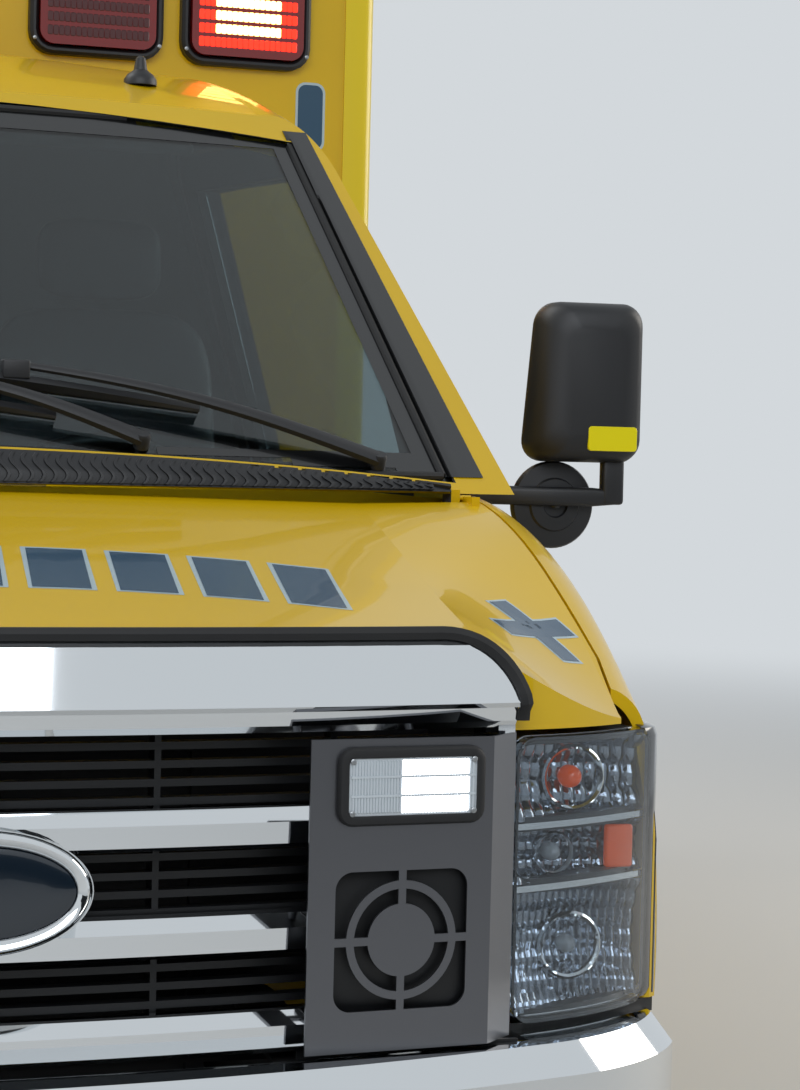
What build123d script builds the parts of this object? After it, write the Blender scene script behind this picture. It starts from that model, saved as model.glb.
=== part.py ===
from build123d import *
from math import cos, radians, sin, sqrt
import os

# A van-based ambulance: a cutaway cab and an aluminium patient box on one ladder frame.
# X points to the vehicle's left, Y to its rear and Z up, with the origin on the ground
# under the middle of the vehicle. Distances along the vehicle are given behind the front
# of the bumper and turned into Y by station().

os.makedirs("parts", exist_ok=True)

# Overall layout
wheelbase = 4013.0
front_overhang = 820.0
cab_end = 2293.0
cab_box_gap = 41.0
box_length = 3860.0
box_width = 2388.0
box_top = 2720.0
box_floor_top = 760.0
skirt_bottom = 460.0
rear_step_depth = 230.0
box_start = cab_end + cab_box_gap
box_end = box_start + box_length
overall_length = box_end + rear_step_depth
rear_axle_at = front_overhang + wheelbase

# Wheels and tyres
tyre_diameter = 744.0
tyre_width = 223.0
rim_radius = 203.0
rim_width = 152.0
rim_lip = 17.0
rim_wall = 8.0
disc_offset = 125.0
front_track = 1750.0
twin_mount_x = 945.0
kingpin_x = 800.0
spindle_radius = 26.0
rear_spindle_radius = 40.0
hub_radius = 62.0
axle_height = tyre_diameter / 2
arch_radius = 445.0
liner_inner_x = 530.0

# Ladder frame
frame_width = 864.0
rail_height = 170.0
rail_flange = 62.0
rail_wall = 8.0
rail_top = 680.0
rail_front = 130.0
rail_rear = box_end - 40.0

# Cab body
cab_half_width = 1003.0
belt_z = 1312.0
sill_z = 480.0
cab_floor_z = 690.0
cab_floor_thickness = 30.0
cab_wall = 45.0
skin = 14.0
hood_thickness = 28.0
door_thickness = 95.0
door_frame_thickness = 42.0
glass_thickness = 6.0
side_lean = 0.28
door_front = 1186.0
door_rear = 2175.0
door_bottom = 500.0
seam_gap = 10.0
firewall_at = 1060.0
windshield_foot = (850.0, 1365.0)
windshield_rake = 43.7
windshield_radius = 5500.0

# Patient box
box_wall = 60.0
door_gap = 6.0
compartment_door = 45.0
compartment_wall = 12.0
compartment_depth = 510.0
lens_depth = 34.0
rear_opening_half = 700.0
rear_opening_bottom = 790.0
rear_opening_top = 2440.0

# Clearances
seat_gap = 0.3
pin_gap = 0.4


def station(distance):
    """Turns a distance behind the front of the bumper into Y."""
    return distance - overall_length / 2


def at(x, distance, z):
    """The point at an X, a distance behind the bumper and a height."""
    return Vector(x, station(distance), z)


def block(x_from, x_to, y_from, y_to, z_from, z_to):
    """A box between two corners."""
    size = Box(x_to - x_from, y_to - y_from, z_to - z_from)
    return Pos((x_from + x_to) / 2, station((y_from + y_to) / 2), (z_from + z_to) / 2) * size


def side_plate(outline, x_from, x_to):
    """A flat outline of (distance, height) points, thick in X."""
    face = make_face(Polyline(*[at(x_from, y, z) for y, z in outline], close=True))
    return extrude(face, amount=x_to - x_from, dir=(1, 0, 0))


def front_plate(outline, y_from, y_to):
    """A flat outline of (x, height) points, thick in Y."""
    face = make_face(Polyline(*[at(x, y_from, z) for x, z in outline], close=True))
    return extrude(face, amount=y_to - y_from, dir=(0, 1, 0))


def plan_plate(outline, z_from, z_to):
    """A flat outline of (x, distance) points, thick in Z."""
    face = make_face(Polyline(*[at(x, y, z_from) for x, y in outline], close=True))
    return extrude(face, amount=z_to - z_from, dir=(0, 0, 1))


def rounded_x(y_from, y_to, z_from, z_to, x_from, x_to, radius):
    """A block with four rounded edges along X."""
    plane = Plane(at(x_from, (y_from + y_to) / 2, (z_from + z_to) / 2), (0, 1, 0), (1, 0, 0))
    return extrude(plane * RectangleRounded(y_to - y_from, z_to - z_from, radius), x_to - x_from)


def rounded_y(x_from, x_to, z_from, z_to, y_from, y_to, radius):
    """A block with four rounded edges along Y."""
    plane = Plane(at((x_from + x_to) / 2, y_from, (z_from + z_to) / 2), (-1, 0, 0), (0, 1, 0))
    return extrude(plane * RectangleRounded(x_to - x_from, z_to - z_from, radius), y_to - y_from)


def rounded_z(x_from, x_to, y_from, y_to, z_from, z_to, radius):
    """A block with four rounded edges along Z."""
    plane = Plane(at((x_from + x_to) / 2, (y_from + y_to) / 2, z_from))
    return extrude(plane * RectangleRounded(x_to - x_from, y_to - y_from, radius), z_to - z_from)


def rod(start, end, radius):
    """A round bar between two points."""
    run = end - start
    return Solid.make_cylinder(radius, run.length, Plane(start, z_dir=run))


def both_sides(shape):
    """A left-hand piece together with its mirrored right-hand twin."""
    return [shape, mirror(shape, Plane.YZ)]


def write(name, *shapes):
    """Writes one node, which holds every solid of the shapes given."""
    solids = [solid for shape in shapes for solid in shape.solids()]
    export_step(Compound(solids) if len(solids) > 1 else solids[0], f"parts/{name}.step")


# Sections of the hood and fenders, from the nose to the doors. Columns: distance,
# crown height, crease x and height, seam x and height, shoulder x and height, widest x,
# sill x.
cab_sections = [
    (110.0, 1146.0, 655.0, 1098.0, 850.0, 985.0, 900.0, 900.0, 925.0, 915.0),
    (300.0, 1191.0, 662.0, 1147.0, 868.0, 1050.0, 926.0, 972.0, 948.0, 935.0),
    (560.0, 1252.0, 678.0, 1213.0, 886.0, 1190.0, 955.0, 1108.0, 972.0, 948.0),
    (880.0, 1318.0, 692.0, 1304.0, 897.0, 1300.0, 968.0, 1222.0, 992.0, 958.0),
    (1186.0, 1322.0, 700.0, 1318.0, 955.0, 1314.0, 990.0, 1248.0, cab_half_width, 965.0),
]
widest_z = 850.0
shoulder_bulge = 0.2


def lower_section(row, inset):
    """One closed section of the cab below its windows, moved in by the inset."""
    (y, crown_z, crease_x, crease_z, seam_x, seam_z,
     shoulder_x, shoulder_z, widest_x, sill_x) = row
    crease = (crease_x - inset * 0.3, crease_z - inset)
    seam = (seam_x - inset * 0.6, seam_z - inset)
    shoulder = (shoulder_x - inset, shoulder_z - inset * 0.5)
    bulge = shoulder_bulge * sqrt((shoulder[0] - seam[0]) ** 2 + (shoulder[1] - seam[1]) ** 2)
    middle = ((seam[0] + shoulder[0]) / 2 + bulge * 0.7, (seam[1] + shoulder[1]) / 2 + bulge * 0.7)
    waist = (widest_x - inset, widest_z)
    sill = (sill_x - inset, sill_z)

    def point(side, corner):
        return at(side * corner[0], y, corner[1])

    edges = [
        ThreePointArc(point(-1, crease), at(0, y, crown_z - inset), point(1, crease)),
        Line(point(1, crease), point(1, seam)),
        ThreePointArc(point(1, seam), point(1, middle), point(1, shoulder)),
        ThreePointArc(point(1, shoulder), point(1, waist), point(1, sill)),
        Line(point(1, sill), point(-1, sill)),
        ThreePointArc(point(-1, sill), point(-1, waist), point(-1, shoulder)),
        ThreePointArc(point(-1, shoulder), point(-1, middle), point(-1, seam)),
        Line(point(-1, seam), point(-1, crease)),
    ]
    return make_face(Wire(edges))


# Plan of the nose, seen from above: the grille's gentle arc and the headlamps' sweep
nose_arc = (690.0, 195.0, 128.0)
lamp_arc_middle = (830.0, 243.0)
lamp_arc_end = (938.0, 328.0)


def nose_face(shift, z_from, back=700.0):
    """The flat area behind the nose's plan curve, which is moved back by the shift."""
    edge_x, edge_y, middle_y = nose_arc
    outer = 1150.0
    points = [at(outer, back, z_from), at(-outer, back, z_from)]
    right_end = at(-lamp_arc_end[0], lamp_arc_end[1] + shift, z_from)
    left_end = at(lamp_arc_end[0], lamp_arc_end[1] + shift, z_from)
    right_edge = at(-edge_x, edge_y + shift, z_from)
    left_edge = at(edge_x, edge_y + shift, z_from)
    right_lamp = at(-lamp_arc_middle[0], lamp_arc_middle[1] + shift, z_from)
    left_lamp = at(lamp_arc_middle[0], lamp_arc_middle[1] + shift, z_from)
    right_outer = at(-outer, lamp_arc_end[1] + 160 + shift, z_from)
    left_outer = at(outer, lamp_arc_end[1] + 160 + shift, z_from)
    edges = [
        Line(points[0], points[1]),
        Line(points[1], right_outer),
        Line(right_outer, right_end),
        ThreePointArc(right_end, right_lamp, right_edge),
        ThreePointArc(right_edge, at(0, middle_y + shift, z_from), left_edge),
        ThreePointArc(left_edge, left_lamp, left_end),
        Line(left_end, left_outer),
        Line(left_outer, points[0]),
    ]
    return make_face(Wire(edges))


def nose_plan(shift, z_from, z_to, back=700.0):
    """Everything behind the nose's plan curve between two heights."""
    return extrude(nose_face(shift, z_from, back), amount=z_to - z_from, dir=(0, 0, 1))


def lower_form(inset):
    """The cab's body below the windows as one solid, moved in by the inset."""
    nose = loft([lower_section(row, inset) for row in cab_sections])
    nose = nose & nose_plan(inset, sill_z - 10, belt_z + 60, back=door_front + 5)
    tail = extrude(lower_section(cab_sections[-1], inset), amount=cab_end - door_front, dir=(0, 1, 0))
    return nose + tail


# Sections of the cab above its belt line. Columns: distance, roof height.
roof_sections = [(740.0, 1660.0), (1395.0, 1936.0), (1720.0, 2038.0), (cab_end, 2080.0)]
roof_corner = 110.0
roof_crown = 26.0
belt_half = 966.0


def side_x(z):
    """Half the cab's width at a height above the belt line."""
    return belt_half - side_lean * (z - belt_z)


def upper_section(distance, roof_z, inset):
    """One closed section of the cab above the belt line, moved in by the inset."""
    foot = (belt_half - inset, belt_z)
    corner_z = roof_z - roof_corner
    corner = (side_x(corner_z) - inset, corner_z - inset * 0.5)
    top = (side_x(corner_z) - roof_corner - inset * 0.5, roof_z - roof_crown - inset)
    middle = ((corner[0] + top[0]) / 2 + 0.2 * roof_corner, (corner[1] + top[1]) / 2 + 0.16 * roof_corner)

    def point(side, place):
        return at(side * place[0], distance, place[1])

    edges = [
        Line(point(-1, foot), point(1, foot)),
        Line(point(1, foot), point(1, corner)),
        ThreePointArc(point(1, corner), point(1, middle), point(1, top)),
        ThreePointArc(point(1, top), at(0, distance, roof_z - inset), point(-1, top)),
        ThreePointArc(point(-1, top), point(-1, middle), point(-1, corner)),
        Line(point(-1, corner), point(-1, foot)),
    ]
    return make_face(Wire(edges))


def windshield_drum(inset):
    """Everything behind the windshield's curved face, which is moved in by the inset."""
    lean = radians(windshield_rake)
    along = Vector(0, sin(lean), cos(lean))
    out = Vector(0, -cos(lean), sin(lean))
    half = 1300.0
    sag = windshield_radius - sqrt(windshield_radius ** 2 - half ** 2)
    crown = at(0, *windshield_foot) - along * 500 - out * inset
    left = crown + Vector(half, 0, 0) - out * sag
    right = crown - Vector(half, 0, 0) - out * sag
    back_left = left - out * 2500
    back_right = right - out * 2500
    edges = [
        ThreePointArc(right, crown, left),
        Line(left, back_left),
        Line(back_left, back_right),
        Line(back_right, right),
    ]
    return extrude(make_face(Wire(edges)), amount=2700, dir=along)


def upper_form(inset):
    """The cab above its belt line as one solid, moved in by the inset."""
    body = loft([upper_section(y, z, inset) for y, z in roof_sections])
    return body & windshield_drum(inset)


lower_outer = lower_form(0)
lower_skin = lower_form(skin)
upper_outer = upper_form(0)

# Outline of a cab door in (distance, height)
door_outline = [
    (door_front + 92, door_bottom), (door_front, 770.0), (door_front, 1480.0),
    (door_front + 316, 1896.0), (door_rear - 30, 1930.0), (door_rear, 1900.0),
    (door_rear, door_bottom),
]


def grown(outline, margin):
    """A closed outline moved outwards by a margin."""
    face = make_face(Polyline(*outline, close=True))
    wire = offset(face, amount=margin, kind=Kind.INTERSECTION)
    return wire


def outline_prism(outline, margin, x_from, x_to):
    """An outline of (distance, height), grown by a margin and thick in X."""
    face = grown(outline, margin)
    plane = Plane(at(x_from, 0, 0), (0, 1, 0), (1, 0, 0))
    return extrude(plane * face, x_to - x_from)


# Cab shell: pillars, roof, rocker sills, floor, firewall, cowl and back wall
def windshield_prism(margin, y_from, y_to):
    """The windshield's outline in front view, grown by a margin and thick in Y."""
    foot_half, foot_z, foot_middle = 868.0, 1328.0, 1367.0
    head_half, head_z, head_middle = 752.0, 1886.0, 1921.0
    left_foot = at(foot_half + margin, y_from, foot_z - margin)
    right_foot = at(-foot_half - margin, y_from, foot_z - margin)
    left_head = at(head_half + margin, y_from, head_z + margin)
    right_head = at(-head_half - margin, y_from, head_z + margin)
    edges = [
        ThreePointArc(right_foot, at(0, y_from, foot_middle - margin), left_foot),
        Line(left_foot, left_head),
        ThreePointArc(left_head, at(0, y_from, head_middle + margin), right_head),
        Line(right_head, right_foot),
    ]
    return extrude(make_face(Wire(edges)), amount=y_to - y_from, dir=(0, 1, 0))


def wheel_drum(x_from, x_to, distance, radius):
    """A cylinder about a wheel's axis."""
    return rod(at(x_from, distance, axle_height), at(x_to, distance, axle_height), radius)


floor_top = cab_floor_z + cab_floor_thickness
back_wall = 50.0
passage_half = 300.0
passage_bottom = 900.0
passage_top = 1930.0
doghouse_half = 310.0
doghouse_top = 1085.0
doghouse_end = 1470.0
doghouse_wall = 20.0
rocker_depth = 95.0

pillar_zone = block(-1100, 1100, firewall_at, door_front - seam_gap, sill_z - 5, belt_z + 40)
tail_zone = block(-1100, 1100, door_front - seam_gap, cab_end + 5, sill_z - 5, belt_z + 40)
lower_inner = lower_form(cab_wall + 15)
upper_inner = upper_form(cab_wall)
cabin_zone = block(-1100, 1100, firewall_at + 30, cab_end - back_wall, floor_top, 2100)
belt_bridge = block(-belt_half + cab_wall, belt_half - cab_wall, firewall_at + 30,
                    cab_end - back_wall, belt_z - 90, belt_z + 30)
cab_body = (lower_form(skin + seat_gap) & pillar_zone) + (lower_outer & tail_zone) + upper_outer
cowl_tub = lower_form(hood_thickness + 12) & block(-890, 890, 905, firewall_at + 10, 1175, belt_z + 10)
cavity = ((lower_inner + belt_bridge) & cabin_zone) + (upper_inner & block(
    -1100, 1100, 700, cab_end - back_wall, belt_z, 2100))
underfloor = block(-cab_half_width + rocker_depth, cab_half_width - rocker_depth,
                   firewall_at - 5, cab_end + 5, sill_z - 10, cab_floor_z)
cab_shell = cab_body + cowl_tub - cavity - underfloor
doghouse = block(-doghouse_half, doghouse_half, firewall_at, doghouse_end, floor_top - 5, doghouse_top)
doghouse_void = block(-doghouse_half + doghouse_wall, doghouse_half - doghouse_wall, firewall_at - 60,
                      doghouse_end - doghouse_wall, sill_z - 20, doghouse_top - doghouse_wall)
cab_shell = cab_shell + doghouse - doghouse_void
for side in (-1, 1):
    x_near, x_far = sorted((side * liner_inner_x, side * 1100))
    cab_shell = cab_shell - wheel_drum(x_near, x_far, front_overhang, arch_radius + skin + seat_gap)
    x_near, x_far = sorted((side * 700, side * 1100))
    cab_shell = cab_shell - outline_prism(door_outline, 7.0, x_near, x_far)
cab_shell = cab_shell - windshield_prism(0, 650, 1455)
cab_shell = cab_shell - rounded_y(-passage_half, passage_half, passage_bottom, passage_top,
                                  cab_end - back_wall - 20, cab_end + 20, 60)
cab_shell = cab_shell - block(-1100, 1100, 400, firewall_at - 1, 400, 1170)

windshield_setback = 8.0
windshield = windshield_prism(-seat_gap, 650, 1500) & windshield_drum(windshield_setback)
windshield = windshield - windshield_drum(windshield_setback + glass_thickness)
write("windshield", windshield)

# Cowl grille: a slatted strip between the hood and the windshield
cowl_bottom = belt_z + 3
cowl_slots = 44
cowl_slot_width = 12.0
cowl_half = 850.0
cowl_proud = 14.0
cowl = (block(-cowl_half, cowl_half, 700, 1100, cowl_bottom, 1400) & windshield_drum(-cowl_proud))
cowl = cowl - windshield_drum(-seat_gap) - windshield_prism(3, 600, 1200)
cowl = cowl - [block(x - cowl_slot_width / 2, x + cowl_slot_width / 2, 700, 1000,
                     cowl_bottom + 12, belt_z + 36)
               for x in [(i - (cowl_slots - 1) / 2) * 2 * (cowl_half - 40) / cowl_slots
                         for i in range(cowl_slots)]]

# The hood's rear edge swings up past the cowl, so the cowl's lower edge stays inside the edge's own arc
hood_hinge = (893.0, 1306.0)
hood_rear_middle = 793.0
hood_rear_side = 880.0
swing_gap = 6.0
swing_ends = [at(side * 893, hood_rear_side + swing_gap, hood_hinge[1]) for side in (1, -1)]
pivot_ends = [at(side * 893, *hood_hinge) for side in (-1, 1)]
swing_edges = [
    ThreePointArc(swing_ends[0], at(0, hood_rear_middle + swing_gap, hood_hinge[1]), swing_ends[1]),
    Polyline(swing_ends[1], *pivot_ends, swing_ends[0]),
]
swing_face = make_face(Wire([e for part in swing_edges for e in part.edges()]))
swing_core = revolve(swing_face, Axis(at(0, *hood_hinge), (1, 0, 0)), 360)
swing_zone = side_plate([hood_hinge, (hood_hinge[0] - 200, hood_hinge[1] - 60),
                         (hood_hinge[0] - 200, hood_hinge[1] + 300)], -1000, 1000)
cowl = cowl - (swing_zone - swing_core)
write("cowl_grille", cowl)

# Hood
hood_front_z = 1150.0
hood_side_z = 1026.0
grille_half = 688.0
brow_corner = 102.0
hood_seam = [(864.0, 180.0), (864.0, 275.0), (885.0, 400.0), (886.0, 560.0), (893.0, 880.0), (893.0, 900.0)]


def hood_plan(margin):
    """The hood's outline seen from above, moved in by a margin."""
    left = [at(x - margin, y, 900) for x, y in hood_seam[:-1]]
    rear_left = at(hood_seam[-1][0] - margin, hood_rear_side - margin, 900)
    right = [Vector(-p.X, p.Y, p.Z) for p in left]
    rear_right = Vector(-rear_left.X, rear_left.Y, rear_left.Z)
    front = 60.0
    edges = [
        Polyline(at(-left[0].X, front, 900), at(left[0].X, front, 900), *left[:-1], rear_left),
        ThreePointArc(rear_left, at(0, hood_rear_middle - margin, 900), rear_right),
        Polyline(rear_right, *reversed(right[:-1]), at(-left[0].X, front, 900)),
    ]
    return extrude(make_face(Wire([e for part in edges for e in part.edges()])), amount=500, dir=(0, 0, 1))


hood = (lower_outer - lower_form(hood_thickness)) & hood_plan(0)
hood = hood & block(-1000, 1000, 60, 1000, hood_side_z, 1400)
hood = hood - rounded_y(-grille_half, grille_half, 700, hood_front_z - 4, 60, 420, brow_corner + 2)

# Front fenders with their wheel-house liners
fender_front = 334.0
fender_zone = block(300, 1100, fender_front, door_front - seam_gap, sill_z, 1400)
fender = (lower_outer - lower_skin) & fender_zone
fender = fender - hood_plan(-5)
fender = fender - wheel_drum(300, 1100, front_overhang, arch_radius)
liner = wheel_drum(liner_inner_x, 1010, front_overhang, arch_radius + skin) - wheel_drum(
    liner_inner_x + skin, 1100, front_overhang, arch_radius)
liner = liner & block(0, 1100, 345, door_front + 90, sill_z, 900)
liner = liner & lower_form(skin - 1)
fender = fender + liner - block(300, 1100, 0, 412, 0, 654)
fender = fender - block(846, 892, 868, 912, 1262, 1340) - block(0, 896, 878, 1300, 900, 1400)
fender = fender - block(0, 880, hood_rear_middle - 60, 1300, 900, 1400)
fender = fender - block(0, 1100, 878, 1300, belt_z - seat_gap, 1400)
write("fenders", *both_sides(fender))

# Cab doors, each with its frame round the window. They hinge on two pins at the front.
window_outline = [
    (door_front + 104, 1352.0), (door_front + 104, 1500.0), (door_front + 345, 1838.0),
    (door_rear - 78, 1862.0), (door_rear - 64, 1352.0),
]
cab_hinge_x = 992.0
cab_hinge_at = door_front + 14.0
cab_hinge_heights = (800.0, 1000.0)
cab_pin_radius = 3.5
cab_pin_length = 26.0
strap_height = 10.0
strap_neck = 14.5
strap_half = 4.0

door_inner_x = 898.0
door_lower = (lower_outer - lower_form(door_thickness)) & block(700, 1100, 1100, 2290, door_bottom - 5, belt_z)
door_lower = door_lower - block(600, door_inner_x, 1100, 2290, 1100, belt_z + 1)
door_upper = (upper_outer - upper_form(door_frame_thickness)) & block(600, 1100, 1100, 2290, belt_z, 2050)
cab_door = (door_lower + door_upper) & outline_prism(door_outline, 0, 700, 1100)
cab_door = cab_door - outline_prism(window_outline, 0, 700, 1100)
door_glass = (upper_form(20) - upper_form(20 + glass_thickness)) & outline_prism(
    window_outline, -seat_gap, 700, 1100)
for z in cab_hinge_heights:
    pocket = block(cab_hinge_x - 48, cab_hinge_x + cab_pin_radius + 5, door_front - 2, cab_hinge_at + 12,
                   z - strap_height - 5, z + 5)
    bore = rod(at(cab_hinge_x, cab_hinge_at, z), at(cab_hinge_x, cab_hinge_at, z + cab_pin_length + 5),
               cab_pin_radius + pin_gap)
    cab_door = cab_door - pocket - bore
    strap = block(cab_hinge_x - 38, cab_hinge_x, door_front - 24, cab_hinge_at + strap_half, z - strap_height, z)
    strap = strap - block(cab_hinge_x - strap_neck, cab_hinge_x + 5, door_front - 30, cab_hinge_at - strap_half,
                          z - 20, z + 5)
    strap = strap - (block(900, 1100, door_front - 24, door_front - seam_gap + 1, z - 20, z + 5)
                     - lower_form(skin + 0.5))
    pin = rod(at(cab_hinge_x, cab_hinge_at, z - strap_height),
              at(cab_hinge_x, cab_hinge_at, z + cab_pin_length), cab_pin_radius)
    for piece in both_sides(strap + pin):
        cab_shell = cab_shell + piece
write("left_cab_door", cab_door)
write("right_cab_door", mirror(cab_door, Plane.YZ))
write("left_door_glass", door_glass)
write("right_door_glass", mirror(door_glass, Plane.YZ))

# Hood hinges: a pin at each rear corner, held by the cab
hood_pin_radius = 4.0
hood_ear = block(872, 884, 850, hood_hinge[0] + 8, hood_hinge[1] - 22, hood_hinge[1] + 2)
hood_bore = rod(at(850, *hood_hinge), at(900, *hood_hinge), hood_pin_radius + pin_gap)
hood_pin = rod(at(854, *hood_hinge), at(885, *hood_hinge), hood_pin_radius)
hood_bracket = block(852, 866, hood_hinge[0] - 6, 925, hood_hinge[1] - 30, belt_z + 6)
for ear, pin in zip(both_sides(hood_ear - hood_bore), both_sides(hood_pin + hood_bracket)):
    hood = hood + ear
    cab_shell = cab_shell + pin
write("hood", hood)
write("cab_shell", cab_shell)

# Door mirrors: a housing on a tube, with a round convex mirror below
mirror_at = 1190.0
mirror_arm_z = 1308.0
mirror_arm_radius = 15.0
mirror_head = rounded_y(1093, 1289, 1364, 1628, mirror_at - 42, mirror_at + 38, 34)
mirror_recess = rounded_y(1107, 1275, 1440, 1614, mirror_at + 30, mirror_at + 40, 26)
mirror_recess_low = rounded_y(1107, 1275, 1378, 1430, mirror_at + 30, mirror_at + 40, 20)
mirror_post = rod(at(1190, mirror_at, mirror_arm_z), at(1190, mirror_at, 1370), 13)
mirror_arm = rod(at(985.5, mirror_at + 62, mirror_arm_z), at(1190, mirror_at, mirror_arm_z), mirror_arm_radius)
mirror_arm_end = rod(at(1180, mirror_at, mirror_arm_z), at(1265, mirror_at, mirror_arm_z), mirror_arm_radius)
mirror_foot = rounded_x(mirror_at + 24, mirror_at + 96, 1276, 1338, 930, 1004, 10)
round_mirror = rod(at(1151, mirror_at - 26, 1294), at(1151, mirror_at - 10, 1294), 72)
door_mirror = mirror_head - mirror_recess - mirror_recess_low + mirror_post + mirror_arm
door_mirror = door_mirror + mirror_arm_end + round_mirror + mirror_foot
door_mirror = door_mirror - lower_form(-seat_gap) - upper_form(-seat_gap)
write("left_mirror", door_mirror)
write("right_mirror", mirror(door_mirror, Plane.YZ))

# Bumper: a rolled steel channel that wraps round the corners
bumper_levels = [(392.0, 26.0), (425.0, 0.0), (610.0, 0.0), (646.0, 22.0)]
bumper_wall = 12.0


def bumper_plan(z, inset, back):
    """One level of the bumper in plan, moved in by the inset."""
    left = [(722.0, 98.0), (872.0, 172.0), (948.0, 262.0)]
    p = [at(x - inset, y + inset, z) for x, y in left]
    q = [Vector(-v.X, v.Y, v.Z) for v in p]
    end = at(960 - inset, back, z)
    far = Vector(-end.X, end.Y, end.Z)
    edges = [
        ThreePointArc(q[0], at(0, inset, z), p[0]),
        ThreePointArc(p[0], p[1], p[2]),
        Line(p[2], end), Line(end, far), Line(far, q[2]),
        ThreePointArc(q[2], q[1], q[0]),
    ]
    return make_face(Wire(edges))


def bumper_form(inset, back):
    """The bumper as a stack of lofts between its levels."""
    plans = [bumper_plan(z, step + inset, back) for z, step in bumper_levels]
    form = None
    for low, high in zip(plans, plans[1:]):
        layer = loft([low, high], ruled=True)
        form = layer if form is None else form + layer
    return form


bumper = bumper_form(0, 400.0) - (bumper_form(bumper_wall, 430.0) & block(
    -1000, 1000, -10, 440, bumper_levels[0][0] + bumper_wall, bumper_levels[-1][0] - bumper_wall))
bumper = bumper - (nose_plan(-48, 600, 700) & block(-700, 700, 0, 440, 600, 700)) - block(
    -690, 690, 190, 440, 380, 660)
write("front_bumper", bumper)

# Grille: chrome surround and bars on the nose's own arc, with a black mesh behind
grille_bars = [(651.0, 698.0), (768.0, 818.0), (895.0, 943.0)]
brow_low, brow_high = 1058.0, 1142.0
grille_bottom = 650.0


def nose_slab(front, back, z_from, z_to):
    """A curved slab between two copies of the nose's plan curve."""
    return nose_plan(front, z_from, z_to) - nose_plan(back, z_from - 1, z_to + 1)


def nose_stack(levels, back):
    """A moulding along the nose whose front face follows a table of heights and shifts."""
    form = None
    for (z_low, shift_low), (z_high, shift_high) in zip(levels, levels[1:]):
        layer = loft([nose_face(shift_low, z_low), nose_face(shift_high, z_high)], ruled=True)
        form = layer if form is None else form + layer
    return form - nose_plan(back, levels[0][0] - 1, levels[-1][0] + 1)


brow_levels = [(brow_low, -34.0), (brow_low + 6, -38.0), (brow_high - 8, -14.0), (brow_high, -4.0)]
lip_levels = [(1032.0, -12.0), (1040.0, -18.0), (brow_low + 2, -24.0)]
bar_profile = [(0.0, -9.0), (5.0, -16.0), (31.0, -17.0), (47.0, -3.0)]
brow = nose_stack(brow_levels, 30) & rounded_y(
    -grille_half + 3, grille_half - 3, brow_low - 200, brow_high, 60, 420, brow_corner)
brow_lip = nose_stack(lip_levels, 30) & block(-684, 684, 60, 420, 1000, 1100)
side_rail = nose_slab(-14, 30, grille_bottom, brow_low) & (
    block(660, 684, 60, 420, 600, 1100) + block(-684, -660, 60, 420, 600, 1100))
foot_rail = nose_slab(-14, 30, grille_bottom, grille_bottom + 14) & block(-684, 684, 60, 420, 600, 700)
bars = [nose_stack([(low + rise, shift) for rise, shift in bar_profile], 26) & block(
    -670, 670, 60, 420, 600, 1100) for low, high in grille_bars]
centre_post = nose_slab(-2, 26, grille_bottom, brow_low) & block(-24, 24, 60, 420, 600, 1100)
grille_surround = brow + brow_lip + side_rail + foot_rail + centre_post
for bar in bars:
    grille_surround = grille_surround + bar
badge = Pos(0, station(86), 857) * Rot(90, 0, 0) * extrude(Ellipse(133, 73.5), amount=-46)
grille_surround = grille_surround + badge
write("grille_surround", grille_surround)

mesh_pitch = 22.0
mesh_count = 17
mesh_slats = [nose_slab(30.3, 52, z, z + 9) & block(-680, 680, 60, 460, 600, 1100)
              for z in [grille_bottom + 8 + i * mesh_pitch for i in range(mesh_count)]]
mesh_ribs = nose_slab(30.3, 60, grille_bottom, 1030) & block(-3, 3, 60, 460, 600, 1100)
for x in (-676, -450, -225, 225, 450, 676):
    mesh_ribs = mesh_ribs + (nose_slab(30.3, 60, grille_bottom, 1030) & block(x - 4, x + 4, 60, 460, 600, 1100))
grille_mesh = mesh_ribs
for slat in mesh_slats:
    grille_mesh = grille_mesh + slat
write("grille_mesh", grille_mesh)

# Light panels: flat stainless plates over the ends of the grille, with a siren cut-out
panel_low, panel_high = 650.0, 1026.0
panel_inner_x, panel_fold_x, panel_outer_x = 395.0, 635.0, 680.0
panel_inner_y, panel_fold_y, panel_outer_y = 102.0, 124.0, 166.0
panel_sheet = 4.0
panel = plan_plate([
    (panel_inner_x, panel_inner_y), (panel_fold_x, panel_fold_y), (panel_outer_x, panel_outer_y),
    (panel_outer_x - panel_sheet, panel_outer_y + panel_sheet),
    (panel_fold_x - 2, panel_fold_y + panel_sheet), (panel_inner_x, panel_inner_y + panel_sheet),
], panel_low, panel_high)
siren_x, siren_z = 517.0, 783.0
siren_hole = rounded_y(430, 603, 699, 867, 60, 200, 22)
siren_bars = [block(siren_x - 5, siren_x + 5, 60, 200, 690, 880), block(420, 610, 60, 200, siren_z - 5, siren_z + 5)]
siren_face = rod(at(siren_x, 60, siren_z), at(siren_x, 200, siren_z), 72) - rod(
    at(siren_x, 60, siren_z), at(siren_x, 200, siren_z), 62)
siren_hub = rod(at(siren_x, 60, siren_z), at(siren_x, 200, siren_z), 44)
for bar in siren_bars:
    siren_face = siren_face + bar
siren_face = siren_face + siren_hub
panel = panel - (siren_hole - siren_face)
for x in (440, 600):
    for low, high in grille_bars[::2]:
        lean = (panel_fold_y - panel_inner_y) / (panel_fold_x - panel_inner_x)
        spacer = rod(at(x, panel_inner_y + (x - panel_inner_x) * lean + 1, (low + high) / 2),
                     at(x, 260, (low + high) / 2), 6)
        panel = panel + (spacer - nose_plan(-17 - seat_gap, 600, 1100))
write("light_panels", *both_sides(panel))

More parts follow.
